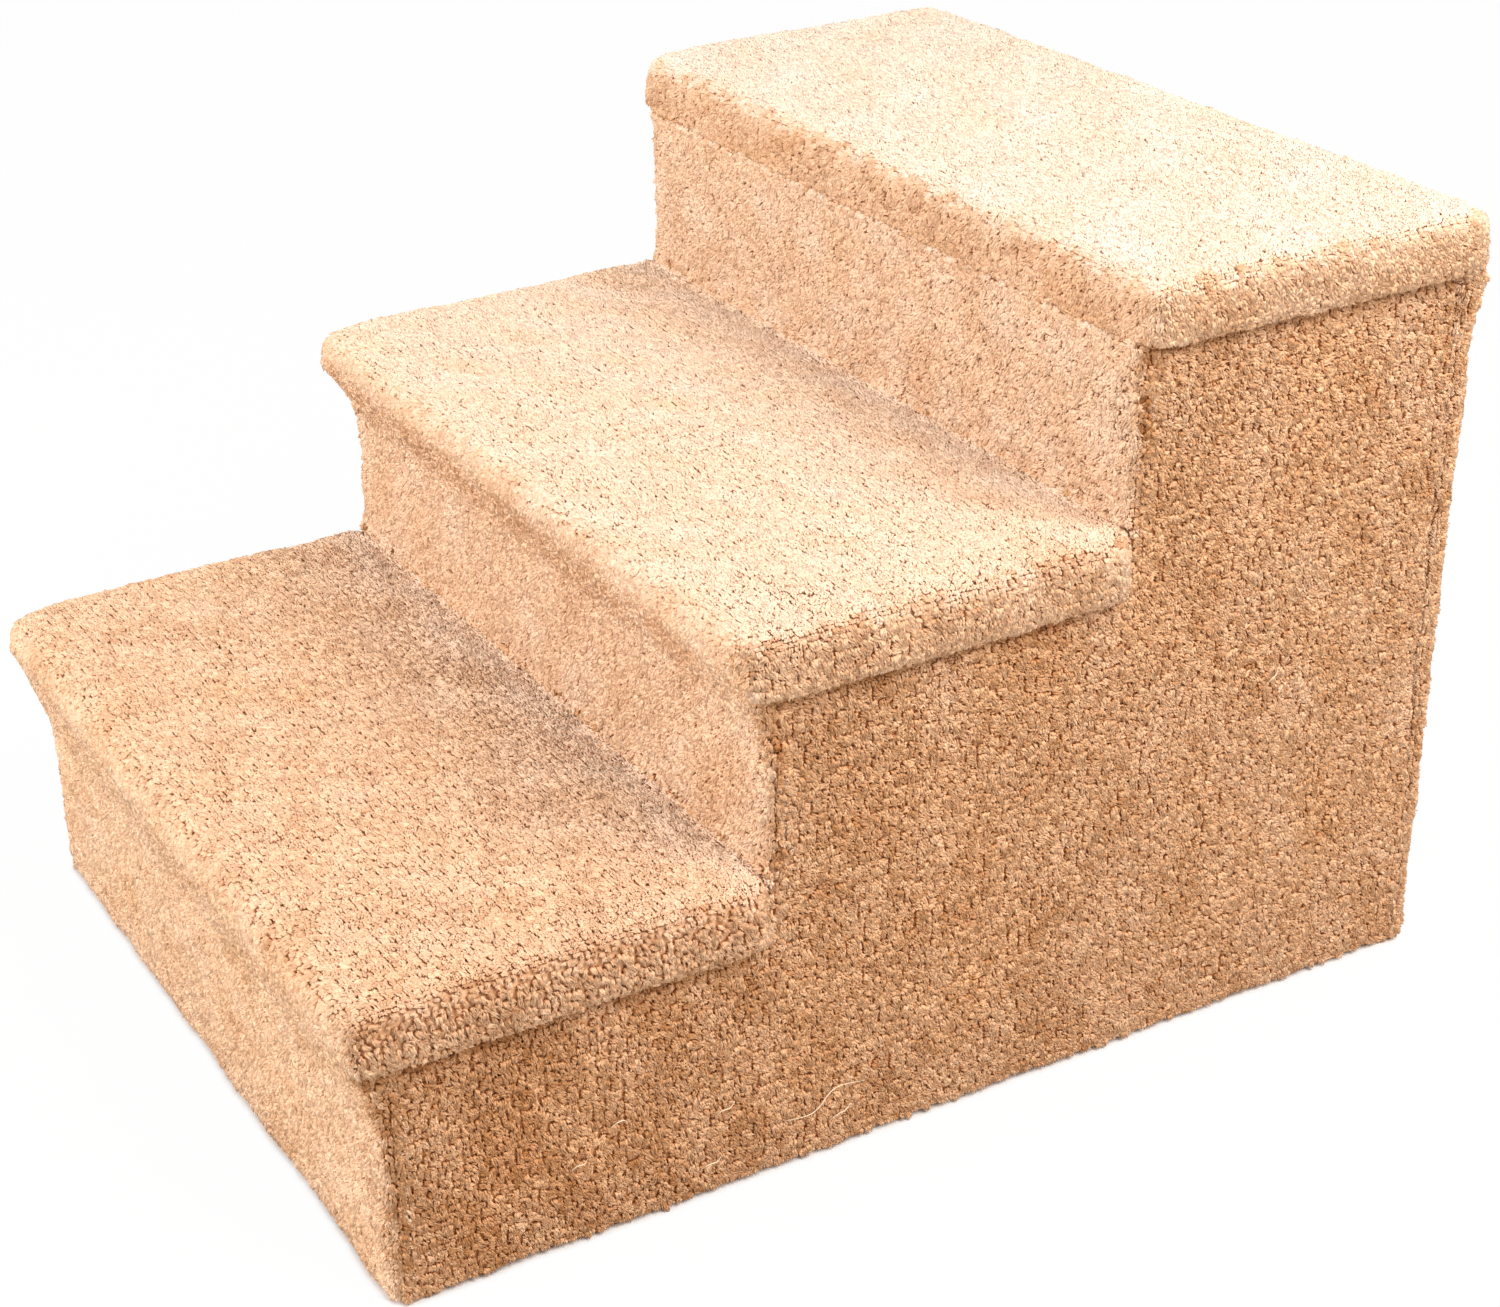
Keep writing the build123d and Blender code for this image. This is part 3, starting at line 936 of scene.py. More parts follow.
@dataclass(frozen=True)
class PlanedPine:
    """Planed pine batten stock.

    The eye sees straight honey-coloured growth rings, a few wandering, on pale wood.
    """

    grain: Axis
    early: str = "#E2BF87"
    late: str = "#BF8B4E"
    ring_mm: float = 3.5
    grain_stretch: float = 25.0

    def material(self) -> Material:
        """Build the material for strips that run along one axis.

        Returns:
            The material.
        """
        material, tree = new_material("planed_pine_" + self.grain.name.lower())
        place = add_node(tree, "TexCoord").outputs["Object"]
        squash = [1.0, 1.0, 1.0]
        squash[self.grain.value] = 1 / self.grain_stretch
        along = add_node(tree, "Mapping", {"Vector": place, "Scale": squash})
        scale = 2 / (math.tau * self.ring_mm * MM)
        wandering = {"Distortion": 4.0, "Detail": 2.0, "Detail Scale": 0.4}
        rings = add_node(
            tree,
            "TexWave",
            {"Vector": along, "Scale": scale, **wandering},
            wave_type="RINGS",
            rings_direction=self.grain.name,
        ).outputs["Fac"]
        colour = add_node(
            tree, "Mix", {"Factor": rings, MIX_A: self.early, MIX_B: self.late}, data_type="RGBA"
        )
        bump = add_node(tree, "Bump", {"Strength": 0.25, "Distance": 0.1 * MM, "Height": rings})
        finish_surface(
            tree,
            {"Base Color": colour, "Roughness": 0.6, "Specular IOR Level": 0.4, "Normal": bump},
        )
        return material


@dataclass(frozen=True)
class PlatedSteel:
    """Steel with a thin zinc plate, yellow passivated on screws and bare on staples.

    The eye sees a metal sheen that is broken into dull and bright specks, and on the
    screws a faint change from straw to rose.
    """

    name: str
    main: str
    tint: str
    roughness: float
    speck_mm: float

    def material(self) -> Material:
        """Build the material.

        Returns:
            The material.
        """
        material, tree = new_material(self.name)
        place = add_node(tree, "TexCoord").outputs["Object"]
        scale = 1 / (self.speck_mm * MM)
        specks = add_node(tree, "TexNoise", {"Vector": place, "Scale": scale, "Detail": 3.0})
        colour = add_node(
            tree, "Mix", {"Factor": specks, MIX_A: self.main, MIX_B: self.tint}, data_type="RGBA"
        )
        dull_and_bright = {"To Min": self.roughness - 0.1, "To Max": self.roughness + 0.15}
        rough = add_node(tree, "MapRange", {"Value": specks, **dull_and_bright})
        bump = add_node(tree, "Bump", {"Strength": 0.2, "Distance": 0.05 * MM, "Height": specks})
        finish_surface(
            tree, {"Base Color": colour, "Metallic": 1.0, "Roughness": rough, "Normal": bump}
        )
        return material


@dataclass
class Carcass:
    """Plywood boards with pine cleats and battens, all shown as the CAD nodes."""

    steps: tuple[str, ...] = ("bottom", "middle", "top")
    sides: tuple[str, ...] = ("left", "right")
    battens: tuple[str, ...] = ("batten_bottom", "batten_middle")

    def dress(self) -> None:
        """Give each board the plywood that lies its way, and the strips their pine."""
        side_panels = ["side_panel_" + side for side in self.sides]
        uprights = [*("riser_board_" + step for step in self.steps), "back_panel"]
        treads = ["tread_board_" + step for step in self.steps]
        cleats = [f"cleat_{step}_{side}" for step in self.steps for side in self.sides]
        sheets = (
            (side_panels, Axis.X, Axis.Z), (uprights, Axis.Y, Axis.X), (treads, Axis.Z, Axis.X)
        )
        for names, thickness, grain in sheets:
            first_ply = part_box(names[0])[0][thickness.value]
            material = Plywood(thickness, grain, first_ply).material()
            for name in names:
                dress_node(name, material)
        for names, grain in ((cleats, Axis.Y), (self.battens, Axis.X)):
            material = PlanedPine(grain).material()
            for name in names:
                dress_node(name, material)


@dataclass
class Fixings:
    """Wood screws and hem staples, all shown as the CAD nodes."""

    screws: tuple[str, ...] = ("treads", "risers", "back", "cleats", "battens")
    screw_plate: PlatedSteel = PlatedSteel(
        "yellow_passivated_zinc", "#D9C07A", "#D9A98C", roughness=0.32, speck_mm=1.2
    )
    staple_plate: PlatedSteel = PlatedSteel(
        "galvanised_wire", "#C6C9CC", "#9EA3A8", roughness=0.38, speck_mm=0.8
    )

    def dress(self) -> None:
        """Plate the screws yellow and the staples plain."""
        yellow = self.screw_plate.material()
        plain = self.staple_plate.material()
        for where in self.screws:
            dress_node("screws_" + where, yellow)
        dress_node("staples_hem", plain)


class Surroundings:
    """The CAD nodes as they lie round a carpet, for finding which of its faces are bare."""

    def __init__(self) -> None:
        """Read every node's mesh once."""
        self.shapes: dict[str, tuple[np.ndarray, list[tuple[int, ...]]]] = {}
        for name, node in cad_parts.items():
            points = np.empty(len(node.data.vertices) * 3)
            node.data.vertices.foreach_get("co", points)
            faces = [tuple(face.vertices) for face in node.data.polygons]
            self.shapes[name] = (points.reshape(-1, 3), faces)

    def tree(self, names: list[str]) -> BVHTree:
        """Build a search tree over some nodes.

        Args:
            names: the nodes.

        Returns:
            A tree that rays can be cast against.
        """
        points: list[tuple[float, ...]] = []
        faces: list[tuple[int, ...]] = []
        for name in names:
            start = len(points)
            node_points, node_faces = self.shapes[name]
            points += [tuple(point) for point in node_points]
            faces += [tuple(corner + start for corner in face) for face in node_faces]
        return BVHTree.FromPolygons(points, faces)

    def bare(self, carpet: str, places: np.ndarray, normals: np.ndarray) -> np.ndarray:
        """Find which faces of a carpet are open to the air.

        A face that looks at another node from near by is glued, stapled or trapped there,
        and one that looks at the carpet itself from near by lines an inner pocket.

        Args:
            carpet: the carpet's node.
            places: middles of the faces.
            normals: the way that each face looks.

        Returns:
            True for each bare face.
        """
        near = 60 * MM
        inside, outside = 0.5 * MM, 3 * MM
        others = self.tree([name for name in self.shapes if name != carpet])
        itself = self.tree([carpet])
        bare = np.ones(len(places), dtype=bool)
        for i, (place, normal) in enumerate(zip(places, normals)):
            way = Vector(normal)
            if others.ray_cast(Vector(place - inside * normal), way, near)[0] is not None:
                bare[i] = False
            elif itself.ray_cast(Vector(place + outside * normal), way, near)[0] is not None:
                bare[i] = False
        return bare


@dataclass
class Net:
    """A closed net of squares, about as wide as a tuft's pitch.

    Attributes:
        points: places of its points.
        faces: each square's corners as numbers of points.
    """

    points: np.ndarray
    faces: np.ndarray

    @classmethod
    def over_node(cls, node: str, pitch: float) -> "Net":
        """Copy a CAD solid as a net.

        Args:
            node: the CAD node.
            pitch: width of a square.

        Returns:
            The net.
        """
        copy = bpy.data.objects.new("net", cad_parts[node].data.copy())
        bpy.context.scene.collection.objects.link(copy)
        remesh = copy.modifiers.new("net", "REMESH")
        remesh.mode = "VOXEL"
        remesh.voxel_size = pitch
        graph = bpy.context.evaluated_depsgraph_get()
        mesh = bpy.data.meshes.new_from_object(copy.evaluated_get(graph), depsgraph=graph)
        points, faces = read_mesh(mesh)
        bpy.data.objects.remove(copy)
        bpy.data.meshes.remove(mesh)
        return cls(points, faces)

    def middles(self) -> np.ndarray:
        """Middle of each square."""
        return self.points[self.faces].mean(axis=1)

    def face_normals(self) -> np.ndarray:
        """The way that each square looks."""
        corners = self.points[self.faces]
        return unit(np.cross(corners[:, 2] - corners[:, 0], corners[:, 3] - corners[:, 1]))

    def point_normals(self) -> np.ndarray:
        """The way that the net looks at each point."""
        return unit(self.at_points(self.face_normals()))

    def pile_normals(self, rounds: int) -> np.ndarray:
        """The way that the pile stands on each square, which turns softly round corners.

        Args:
            rounds: how often the ways of neighbours are evened out.

        Returns:
            A unit vector for each square.
        """
        normals = self.face_normals()
        for _ in range(rounds):
            normals = unit(self.at_points(normals)[self.faces].mean(axis=1))
        return normals

    def at_points(self, values: np.ndarray) -> np.ndarray:
        """Average the values of the squares that meet at each point.

        Args:
            values: a value or a vector for each square.

        Returns:
            The average at each point.
        """
        total = np.zeros((len(self.points), *values.shape[1:]))
        count = np.zeros(len(self.points))
        for corner in range(4):
            np.add.at(total, self.faces[:, corner], values)
            np.add.at(count, self.faces[:, corner], 1)
        count = np.maximum(count, 1)
        return total / (count[:, None] if values.ndim > 1 else count)

    def spread(self, chosen: np.ndarray, rings: int) -> np.ndarray:
        """Add the squares that touch the chosen ones, ring by ring.

        Args:
            chosen: True for each chosen square.
            rings: how many rings to add, or to take away if it is below zero.

        Returns:
            True for each square of the larger or smaller patch.
        """
        patch = chosen if rings > 0 else ~chosen
        for _ in range(abs(rings)):
            touched = np.zeros(len(self.points), dtype=bool)
            touched[self.faces[patch]] = True
            patch = touched[self.faces].any(axis=1)
        return patch if rings > 0 else ~patch

    def soften(self, weights: np.ndarray, rounds: int) -> None:
        """Draw each point towards its neighbours, again and again.

        Args:
            weights: how freely each point moves, from 0 to 1 for halfway in each round.
            rounds: how many rounds.
        """
        halfway = 0.5
        pairs = [(corner, (corner + step) % 4) for corner in range(4) for step in (1, 3)]
        count = np.zeros(len(self.points))
        for corner, _ in pairs:
            np.add.at(count, self.faces[:, corner], 1)
        count = np.maximum(count, 1)[:, None]
        for _ in range(rounds):
            total = np.zeros_like(self.points)
            for corner, other in pairs:
                neighbour = self.points[self.faces[:, other]]
                for axis in range(3):
                    total[:, axis] += np.bincount(
                        self.faces[:, corner], neighbour[:, axis], len(self.points)
                    )
            self.points = self.points + halfway * weights[:, None] * (total / count - self.points)


@dataclass(frozen=True)
class LooseFibre:
    """Single nylon filaments pulled out of the pile.

    The eye sees a pale, thin hair that shines a little.
    """

    colour: str = "#F6DDBC"
    uneven_mm: float = 2.0

    def material(self) -> Material:
        """Build the material.

        Returns:
            The material.
        """
        material, tree = new_material("pulled_nylon_filament")
        place = add_node(tree, "TexCoord").outputs["Object"]
        uneven = add_node(tree, "TexNoise", {"Vector": place, "Scale": 1 / (self.uneven_mm * MM)})
        level = add_node(tree, "MapRange", {"Value": uneven, "To Min": 0.75, "To Max": 1.1})
        plain = linear(self.colour)[:3]
        colour = add_node(tree, "VectorMath", {0: plain, "Scale": level}, operation="SCALE")
        finish_surface(tree, {"Base Color": colour, "Roughness": 0.5})
        return material


@dataclass(frozen=True)
class DarkLint:
    """Specks of dark lint caught between the tufts.

    The eye sees small matt brown dots.
    """

    dark: str = "#5A4030"
    light: str = "#8A6548"
    uneven_mm: float = 0.6

    def material(self) -> Material:
        """Build the material.

        Returns:
            The material.
        """
        material, tree = new_material("matt_brown_lint")
        place = add_node(tree, "TexCoord").outputs["Object"]
        uneven = add_node(tree, "TexNoise", {"Vector": place, "Scale": 1 / (self.uneven_mm * MM)})
        colour = add_node(
            tree, "Mix", {"Factor": uneven, MIX_A: self.dark, MIX_B: self.light}, data_type="RGBA"
        )
        finish_surface(tree, {"Base Color": colour, "Roughness": 0.95})
        return material


@dataclass
class Lint:
    """Loose dirt on a carpet: pale fibres and dark specks.

    Attributes:
        fibres: corners of each fibre's line, in millimetres.
        specks: middle of each speck, likewise.
        seed: picks the shapes.
        fibre_radius: radius of a fibre at its middle.
        speck_radius: about the radius of a speck.
        steps: points along a fibre.
        sides: points round it.
        curve_rounds: how often its line is softened.
        pieces: the pieces with their finishes, once they are built.
    """

    fibres: tuple[Line, ...] = ()
    specks: Line = ()
    seed: int = 71
    fibre_radius: float = 0.3 * MM
    speck_radius: float = 0.9 * MM
    steps: int = 14
    sides: int = 5
    curve_rounds: int = 3
    pieces: list[tuple[Object, LooseFibre | DarkLint]] = field(default_factory=list)

    def curve(self, line: Line) -> np.ndarray:
        """Draw a soft curve through the corners of a line.

        Args:
            line: its corners.

        Returns:
            Places along the curve.
        """
        corners = np.array(line) * MM
        at = np.linspace(0, len(corners) - 1, self.steps)
        straight = [np.interp(at, range(len(corners)), corners[:, axis]) for axis in range(3)]
        path = np.stack(straight, axis=1)
        for _ in range(self.curve_rounds):
            path[1:-1] = 0.5 * path[1:-1] + 0.25 * (path[:-2] + path[2:])
        return path

    def fibre(self, path: np.ndarray) -> tuple[np.ndarray, np.ndarray]:
        """Build one fibre as a thin closed tube.

        Args:
            path: places along it.

        Returns:
            Its points and faces.
        """
        slanting = np.array([0.31, 0.2, 0.93])
        thin_end = 0.25
        along = unit(np.gradient(path, axis=0))
        side = unit(np.cross(along, slanting))
        other = np.cross(along, side)
        angles = (np.arange(self.sides) * math.tau / self.sides)[None, :, None]
        ring = np.cos(angles) * side[:, None] + np.sin(angles) * other[:, None]
        taper = np.sin(np.linspace(thin_end, math.pi - thin_end, len(path)))[:, None, None]
        points = (path[:, None] + self.fibre_radius * taper * ring).reshape(-1, 3)
        points = np.concatenate([points, path[:1], path[-1:]])
        last = (len(path) - 1) * self.sides
        faces = []
        for i in range(self.sides):
            j = (i + 1) % self.sides
            for row in range(0, last, self.sides):
                a, b = row + i, row + j
                faces += [(a, b, b + self.sides), (a, b + self.sides, a + self.sides)]
            faces += [(len(points) - 2, j, i), (len(points) - 1, last + i, last + j)]
        return points, np.array(faces)

    def speck(
        self, middle: np.ndarray, chance: np.random.Generator
    ) -> tuple[np.ndarray, np.ndarray]:
        """Build one speck as a small uneven lump.

        Args:
            middle: its middle.
            chance: gives it its shape.

        Returns:
            Its points and faces.
        """
        axes = np.concatenate([np.eye(3), -np.eye(3)])
        spread = self.speck_radius * chance.uniform(0.6, 1.2, (6, 1)) * axes
        spread += chance.normal(0, 0.2, (6, 3)) * self.speck_radius
        above = [(0, 1, 2), (1, 3, 2), (3, 4, 2), (4, 0, 2)]
        below = [(1, 0, 5), (3, 1, 5), (4, 3, 5), (0, 4, 5)]
        return middle + spread, np.array(above + below)

    def build(self, node: str) -> None:
        """Build the fibres and the specks as one piece each.

        Args:
            node: the carpet's node, which gives them their names.
        """
        chance = np.random.default_rng(self.seed)
        fibres = [self.fibre(self.curve(line)) for line in self.fibres]
        specks = [self.speck(np.array(middle) * MM, chance) for middle in self.specks]
        kinds = (("_fibres", fibres, LooseFibre()), ("_specks", specks, DarkLint()))
        for name, shapes, finish in kinds:
            if not shapes:
                continue
            starts = np.cumsum([0, *(len(points) for points, _ in shapes[:-1])])
            points = np.concatenate([points for points, _ in shapes])
            faces = np.concatenate([faces + start for (_, faces), start in zip(shapes, starts)])
            self.pieces.append((make_mesh(node + name, points, faces), finish))

    def dress(self) -> list[Object]:
        """Give the pieces their finishes.

        Returns:
            The pieces.
        """
        for piece, finish in self.pieces:
            piece.data.materials.append(finish.material())
        return [piece for piece, _ in self.pieces]


@dataclass
class Carpet:
    """One cut of carpet, from its glued shell to the tips of its pile.

    Attributes:
        node: the CAD node that it replaces.
        flat: width and length of the rectangle that it was cut from, in metres. Not used.
        area: area of the cut itself, in square metres. Not used.
        rests_on: the boards that it is stretched over. Not used.
        seed: picks every chance in it.
        tread_top: height of the tread that it wraps, if it wraps one.
        riser_behind: place along Y of the riser's face behind that tread, if there is one.
        riser_reach: how far in front of that riser the painted paleness of the higher treads gives
            way to a smaller painted lightening against the riser's shade.
        creases: partings, seams and folds in its pile.
        bridged: seams that its tufts stand across.
        worn: where the pile has been rubbed most, each a place and a radius in millimetres.
        lint: loose dirt on it, if there is any.
        yarn: the yarn of its pile.
        roll_depth: how far below the tread its rolled edge reaches.
        roll_rounds: how often the rolled edge is softened.
        nose_depth: how far back from its front the tread's nose reaches.
        nose_rounds: how often the nose is softened on top of that.
        plain_rounds: how often the rest is.
        seam_rings: how many tufts deep the pile reaches into a seam.
        turn_rounds: how softly the pile turns round corners.
        rear_strips: whether strips of it are folded round from the back onto the sides.
        strip_inset: how far those strips stay inside the tread's edge under it.
        strip_width: width of the strips.
        band: height of the tread's wrapped side edge.
        bridge_spread: how far the tufts that close a seam stray off it.
        drag: how open and dragged the pile is round the tread's side edges.
        front_tone: how much paler its front is than that of the other cuts, in steps of tone.
        least_tone: the deepest tone outside its creases.
        flank_shade: how much deeper the front of the sides is, in steps of tone.
        patches: length and depth of the soft patches in its tone.
        swirls: length and strength of the swirls in the way that its pile is combed.
        tangle_length: length of the waves in untidy pile.
        seam_scatter: how far the pile scatters inside a seam.
        foot: thickness of the pile's foot, which stays on the shell.
        floor_reach: how far up from the floor the pile is pressed by it.
        hem_reach: how far up from the floor the turned-in hem reaches.
        hem_press: how flat the hem's pile is pressed.
        hem_lay: the hem's lean, and the shares of height and scatter that it keeps.
        hem_comb: how strongly the pile above the hem is combed down.
        hem_shade: painted contact shadow, how much darker the pile is just above the floor, in
            steps of tone.
        wave: height and length of the soft waves in the glued carpet.
        edge_wave: height and length of the waves along its edges.
        shell: its glued shell, once it is built.
        pile: the pieces of its pile, likewise.
    """

    node: str
    flat: tuple[float, float]
    area: float
    rests_on: tuple[str, ...]
    seed: int
    tread_top: float | None = None
    riser_behind: float = math.inf
    riser_reach: float = 75 * MM
    creases: tuple[Crease, ...] = ()
    bridged: tuple[Crease, ...] = ()
    worn: tuple[tuple[Place, float], ...] = ()
    lint: Lint = field(default_factory=Lint)
    yarn: Yarn = Yarn()
    roll_depth: float = 24 * MM
    roll_rounds: int = 14
    nose_depth: float = 34 * MM
    nose_rounds: int = 30
    plain_rounds: int = 6
    seam_rings: int = 2
    turn_rounds: int = 3
    rear_strips: bool = False
    strip_inset: float = 3.5 * MM
    strip_width: float = 19 * MM
    band: float = 31 * MM
    bridge_spread: float = 1.5 * MM
    drag: float = 0.1
    front_tone: float = 0.0
    least_tone: float = 0.13
    flank_shade: float = 0.05
    patches: tuple[float, float] = (35 * MM, 0.05)
    swirls: tuple[float, float] = (50 * MM, 0.15)
    tangle_length: float = 6 * MM
    seam_scatter: float = 0.35
    foot: float = 0.2 * MM
    floor_reach: float = 7 * MM
    hem_reach: float = 4 * MM
    hem_press: float = 1.1 * MM
    hem_lay: tuple[float, float, float] = (0.7, 0.8, 0.2)
    hem_comb: float = 3.0
    hem_shade: float = 0.25
    wave: tuple[float, float] = (0.4 * MM, 60 * MM)
    edge_wave: tuple[float, float] = (0.5 * MM, 22 * MM)
    shell: Object | None = None
    pile: list[Object] = field(default_factory=list)

    def crease_pull(self, points: np.ndarray) -> list[tuple[Crease, np.ndarray, np.ndarray]]:
        """Measure how strongly each crease and seam is felt.

        Args:
            points: where to measure, in metres.

        Returns:
            Each of them, with its reach at the points and the way off it.
        """
        return [
            (crease, *crease.reach(points, self.seed + number))
            for number, crease in enumerate((*self.creases, *SEAMS))
        ]

    def in_hem(self, places: np.ndarray, normals: np.ndarray) -> np.ndarray:
        """True where the carpet is turned in under the boards."""
        return (normals[:, 2] < -0.6) & (places[:, 2] < self.hem_reach)

    def build(self, around: Surroundings) -> None:
        """Make the shell, then grow the pile on its bare side.

        Args:
            around: the other nodes.
        """
        net = Net.over_node(self.node, self.yarn.pitch)
        bare = around.bare(self.node, net.middles(), net.face_normals())
        free = net.at_points(bare.astype(float))
        inner = net.at_points(net.spread(bare, -1).astype(float))
        net.soften(inner, self.plain_rounds)
        if self.tread_top is not None:
            self.round_edges(net, inner)
        if self.rear_strips:
            self.flare_strips(net, inner)
        self.press_in(net, free)
        self.shell = make_mesh(self.node + "_shell", net.points, net.faces)
        tones = self.lay_of(net.points, net.point_normals())["tone"]
        self.mark(self.shell, np.stack([0 * tones, 0 * tones, tones], axis=1))
        grown = net.spread(bare, self.seam_rings)
        seam = (grown & ~bare)[grown].astype(float)
        normals = net.pile_normals(self.turn_rounds)[grown]
        self.grow(net.points[net.faces[grown]], normals, seam)
        self.lint.build(self.node)

    def round_edges(self, net: Net, inner: np.ndarray) -> None:
        """Round the edges of the tread, and its nose the most.

        Args:
            net: the carpet's surface.
            inner: 1 for its bare points, falling to 0 at the rest.
        """
        low, high = self.tread_top - self.roll_depth, self.tread_top - 0.5 * self.roll_depth
        roll = inner * smooth_step(net.points[:, 2], low, high)
        net.soften(roll, self.roll_rounds)
        front = net.points[:, 1].min()
        near, far = front + 0.6 * self.nose_depth, front + self.nose_depth
        net.soften(roll * (1 - smooth_step(net.points[:, 1], near, far)), self.nose_rounds)

    def flare_strips(self, net: Net, inner: np.ndarray) -> None:
        """Bring the strips at the rear out to the tread's edge, since they are one piece with it.

        Args:
            net: the carpet's surface.
            inner: 1 for its bare points, falling to 0 at the rest.
        """
        across, along, up = net.points.T
        wide = across.max() - self.strip_inset
        depth = (self.tread_top - up) / self.band
        rear, full_width = along.max(), 12 * MM
        share = inner * smooth_step(along, rear - self.strip_width, rear - full_width)
        share *= smooth_step(np.abs(across), 0.94 * wide, 0.96 * wide)
        share *= smooth_step(depth, 0.95, 1.05) * (1 - smooth_step(depth, 1.05, 2.2))
        net.points[:, 0] += np.sign(across) * share * np.maximum(wide - np.abs(across), 0)

    def press_in(self, net: Net, free: np.ndarray) -> None:
        """Sink the bare side to the foot of the pile, with soft waves and creases.

        Args:
            net: the carpet's net.
            free: how bare it is at each point, from 0 to 1.
        """
        outward = net.point_normals()
        sink = np.full(len(net.points), self.yarn.pile - self.foot)
        sink[self.in_hem(net.points, outward)] = self.hem_press
        height, length = self.wave
        sink += height * ripple(net.points, length, self.seed)
        height, length = self.edge_wave
        at_edge = smooth_step(1 - np.abs(outward).max(axis=1), 0.05, 0.25)
        sink += height * at_edge * ripple(net.points, length, self.seed + 50)
        for crease, reach, _ in self.crease_pull(net.points):
            sink += crease.depth * MM * reach
        net.points = net.points - outward * (sink * free)[:, None]

    def turn(self, places: np.ndarray, normals: np.ndarray) -> np.ndarray:
        """Turn the normals a little, so that the borders between the facings wander.

        Args:
            places: where the tufts stand.
            normals: the way out of the carpet there.

        Returns:
            The turned normals.
        """
        turned = normals.copy()
        wander = 0.1 + 0.2 * smooth_step(1 - np.abs(normals).max(axis=1), 0.01, 0.12)
        for length, seed in ((14 * MM, 21), (5 * MM, 31)):
            turned += wander[:, None] * ripples(places, length, self.seed + seed)
        return unit(turned)

    def zones(
        self,
        places: np.ndarray,
        normals: np.ndarray,
        turned: np.ndarray,
        shares: dict[Facing, np.ndarray],
    ) -> dict[Zone, np.ndarray]:
        """Find how strongly each zone is felt.

        Args:
            places: where the tufts stand.
            normals: the way out of the carpet there.
            turned: the normals as turned.
            shares: how far each place faces each way.

        Returns:
            A share from 0 to 1 for each place in each zone.
        """
        across, along, high = np.abs(places[:, 0]), places[:, 1], places[:, 2]
        upward = normals[:, 2]
        top = shares[Facing.UP]
        to_riser = self.riser_behind - along
        away = smooth_step(to_riser, 5 * MM, self.riser_reach)
        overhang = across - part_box("carpet_side_right")[1][0]
        band = smooth_step(overhang, 1 * MM, 5 * MM) * (1 - top)
        edge = smooth_step(upward, 0.1, 0.6) * (1 - smooth_step(upward, 0.8, 0.97))
        side = np.abs(turned[:, 0]) * (1 - band)
        worn = np.zeros(len(places))
        for spot, radius in self.worn:
            off = np.linalg.norm(places - np.array(spot) * MM, axis=1) / (radius * MM)
            worn += 1 - smooth_step(off, 0.3, 1.0)
        return {
            Zone.HIGH: top * away * smooth_step(high, 150 * MM, 370 * MM),
            Zone.BEFORE_RISER: top * (1 - away),
            Zone.TUCKED_WITH_PAINTED_LIGHT: top * (1 - smooth_step(to_riser, 8 * MM, 32 * MM)),
            Zone.BAND: band,
            Zone.CALM_BAND: (1 - self.drag) * band,
            Zone.DRAGGED_BAND: self.drag * band,
            Zone.DRAGGED_EDGE: self.drag * edge * (1 - shares[Facing.FRONT]),
            Zone.FRINGE: band * smooth_step(-upward, 0.1, 0.5),
            Zone.FLANK: side * (1 - smooth_step(along, -320 * MM, 20 * MM)),
            Zone.PALER_SIDE_REAR: side * smooth_step(along, 0.0, 280 * MM),
            Zone.WORN: worn,
            Zone.HEM: 1 - smooth_step(high, 1 * MM, self.floor_reach),
        }

    def press_hem(
        self, lay: dict[str, np.ndarray], low: np.ndarray, places: np.ndarray, normals: np.ndarray
    ) -> None:
        """Press the turned-in hem flat under the stairs, and comb the pile above it down.

        Args:
            lay: how the pile lies, which is changed.
            low: how close to the floor the tufts stand, from 0 to 1.
            places: where they stand.
            normals: the way out of the carpet there.
        """
        lean, height, scatter = self.hem_lay
        flat_height = 0.3
        lay["height"] *= 1 - (1 - height) * low
        lay["scatter"] *= 1 - (1 - scatter) * low
        lay["lean"] += (lean - lay["lean"]) * low
        lay["comb"] += self.hem_comb * low[:, None] * np.array(Facing.DOWN.value)
        lay["height"][self.in_hem(places, normals)] = flat_height

    def lay_of(self, places: np.ndarray, normals: np.ndarray) -> dict[str, np.ndarray]:
        """Work out how the pile lies.

        Args:
            places: where the tufts stand.
            normals: the way out of the carpet there.

        Returns:
            The arrays that Yarn.strands asks for.
        """
        turned = self.turn(places, normals)
        shares = {
            facing: np.clip(turned @ np.array(facing.value), 0, None) ** 2 for facing in Facing
        }
        zones = self.zones(places, normals, turned, shares)
        lay: dict[str, np.ndarray] = {}
        for name in (each.name for each in fields(Lay)):
            lay[name] = sum(share * getattr(LAYS[facing], name) for facing, share in shares.items())
            lay[name] += sum(share * getattr(zone.value, name) for zone, share in zones.items())
        lay["comb"] = sum(
            share[:, None] * unit(np.array(COMBS[facing])) for facing, share in shares.items()
        )
        self.press_hem(lay, zones[Zone.HEM], places, normals)

        length, depth = self.patches
        lay["tone"] += self.front_tone * shares[Facing.FRONT]
        lay["tone"] += depth * ripple(places, length, self.seed + 7)
        lay["tone"] = np.maximum(lay["tone"], self.least_tone)
        lay["tone"] -= self.flank_shade * zones[Zone.FLANK]
        # Painted contact shadow on the pile just above the floor
        lay["tone"] -= self.hem_shade * (1 - smooth_step(places[:, 2], 0.5 * MM, 3 * MM))
        tangle = ripple(places, self.tangle_length, self.seed + 51)
        for crease, reach, away in self.crease_pull(places):
            crease.disturb(lay, reach, away, tangle)
        length, strength = self.swirls
        lay["comb"] += strength * ripples(places, length, self.seed + 11)
        return lay

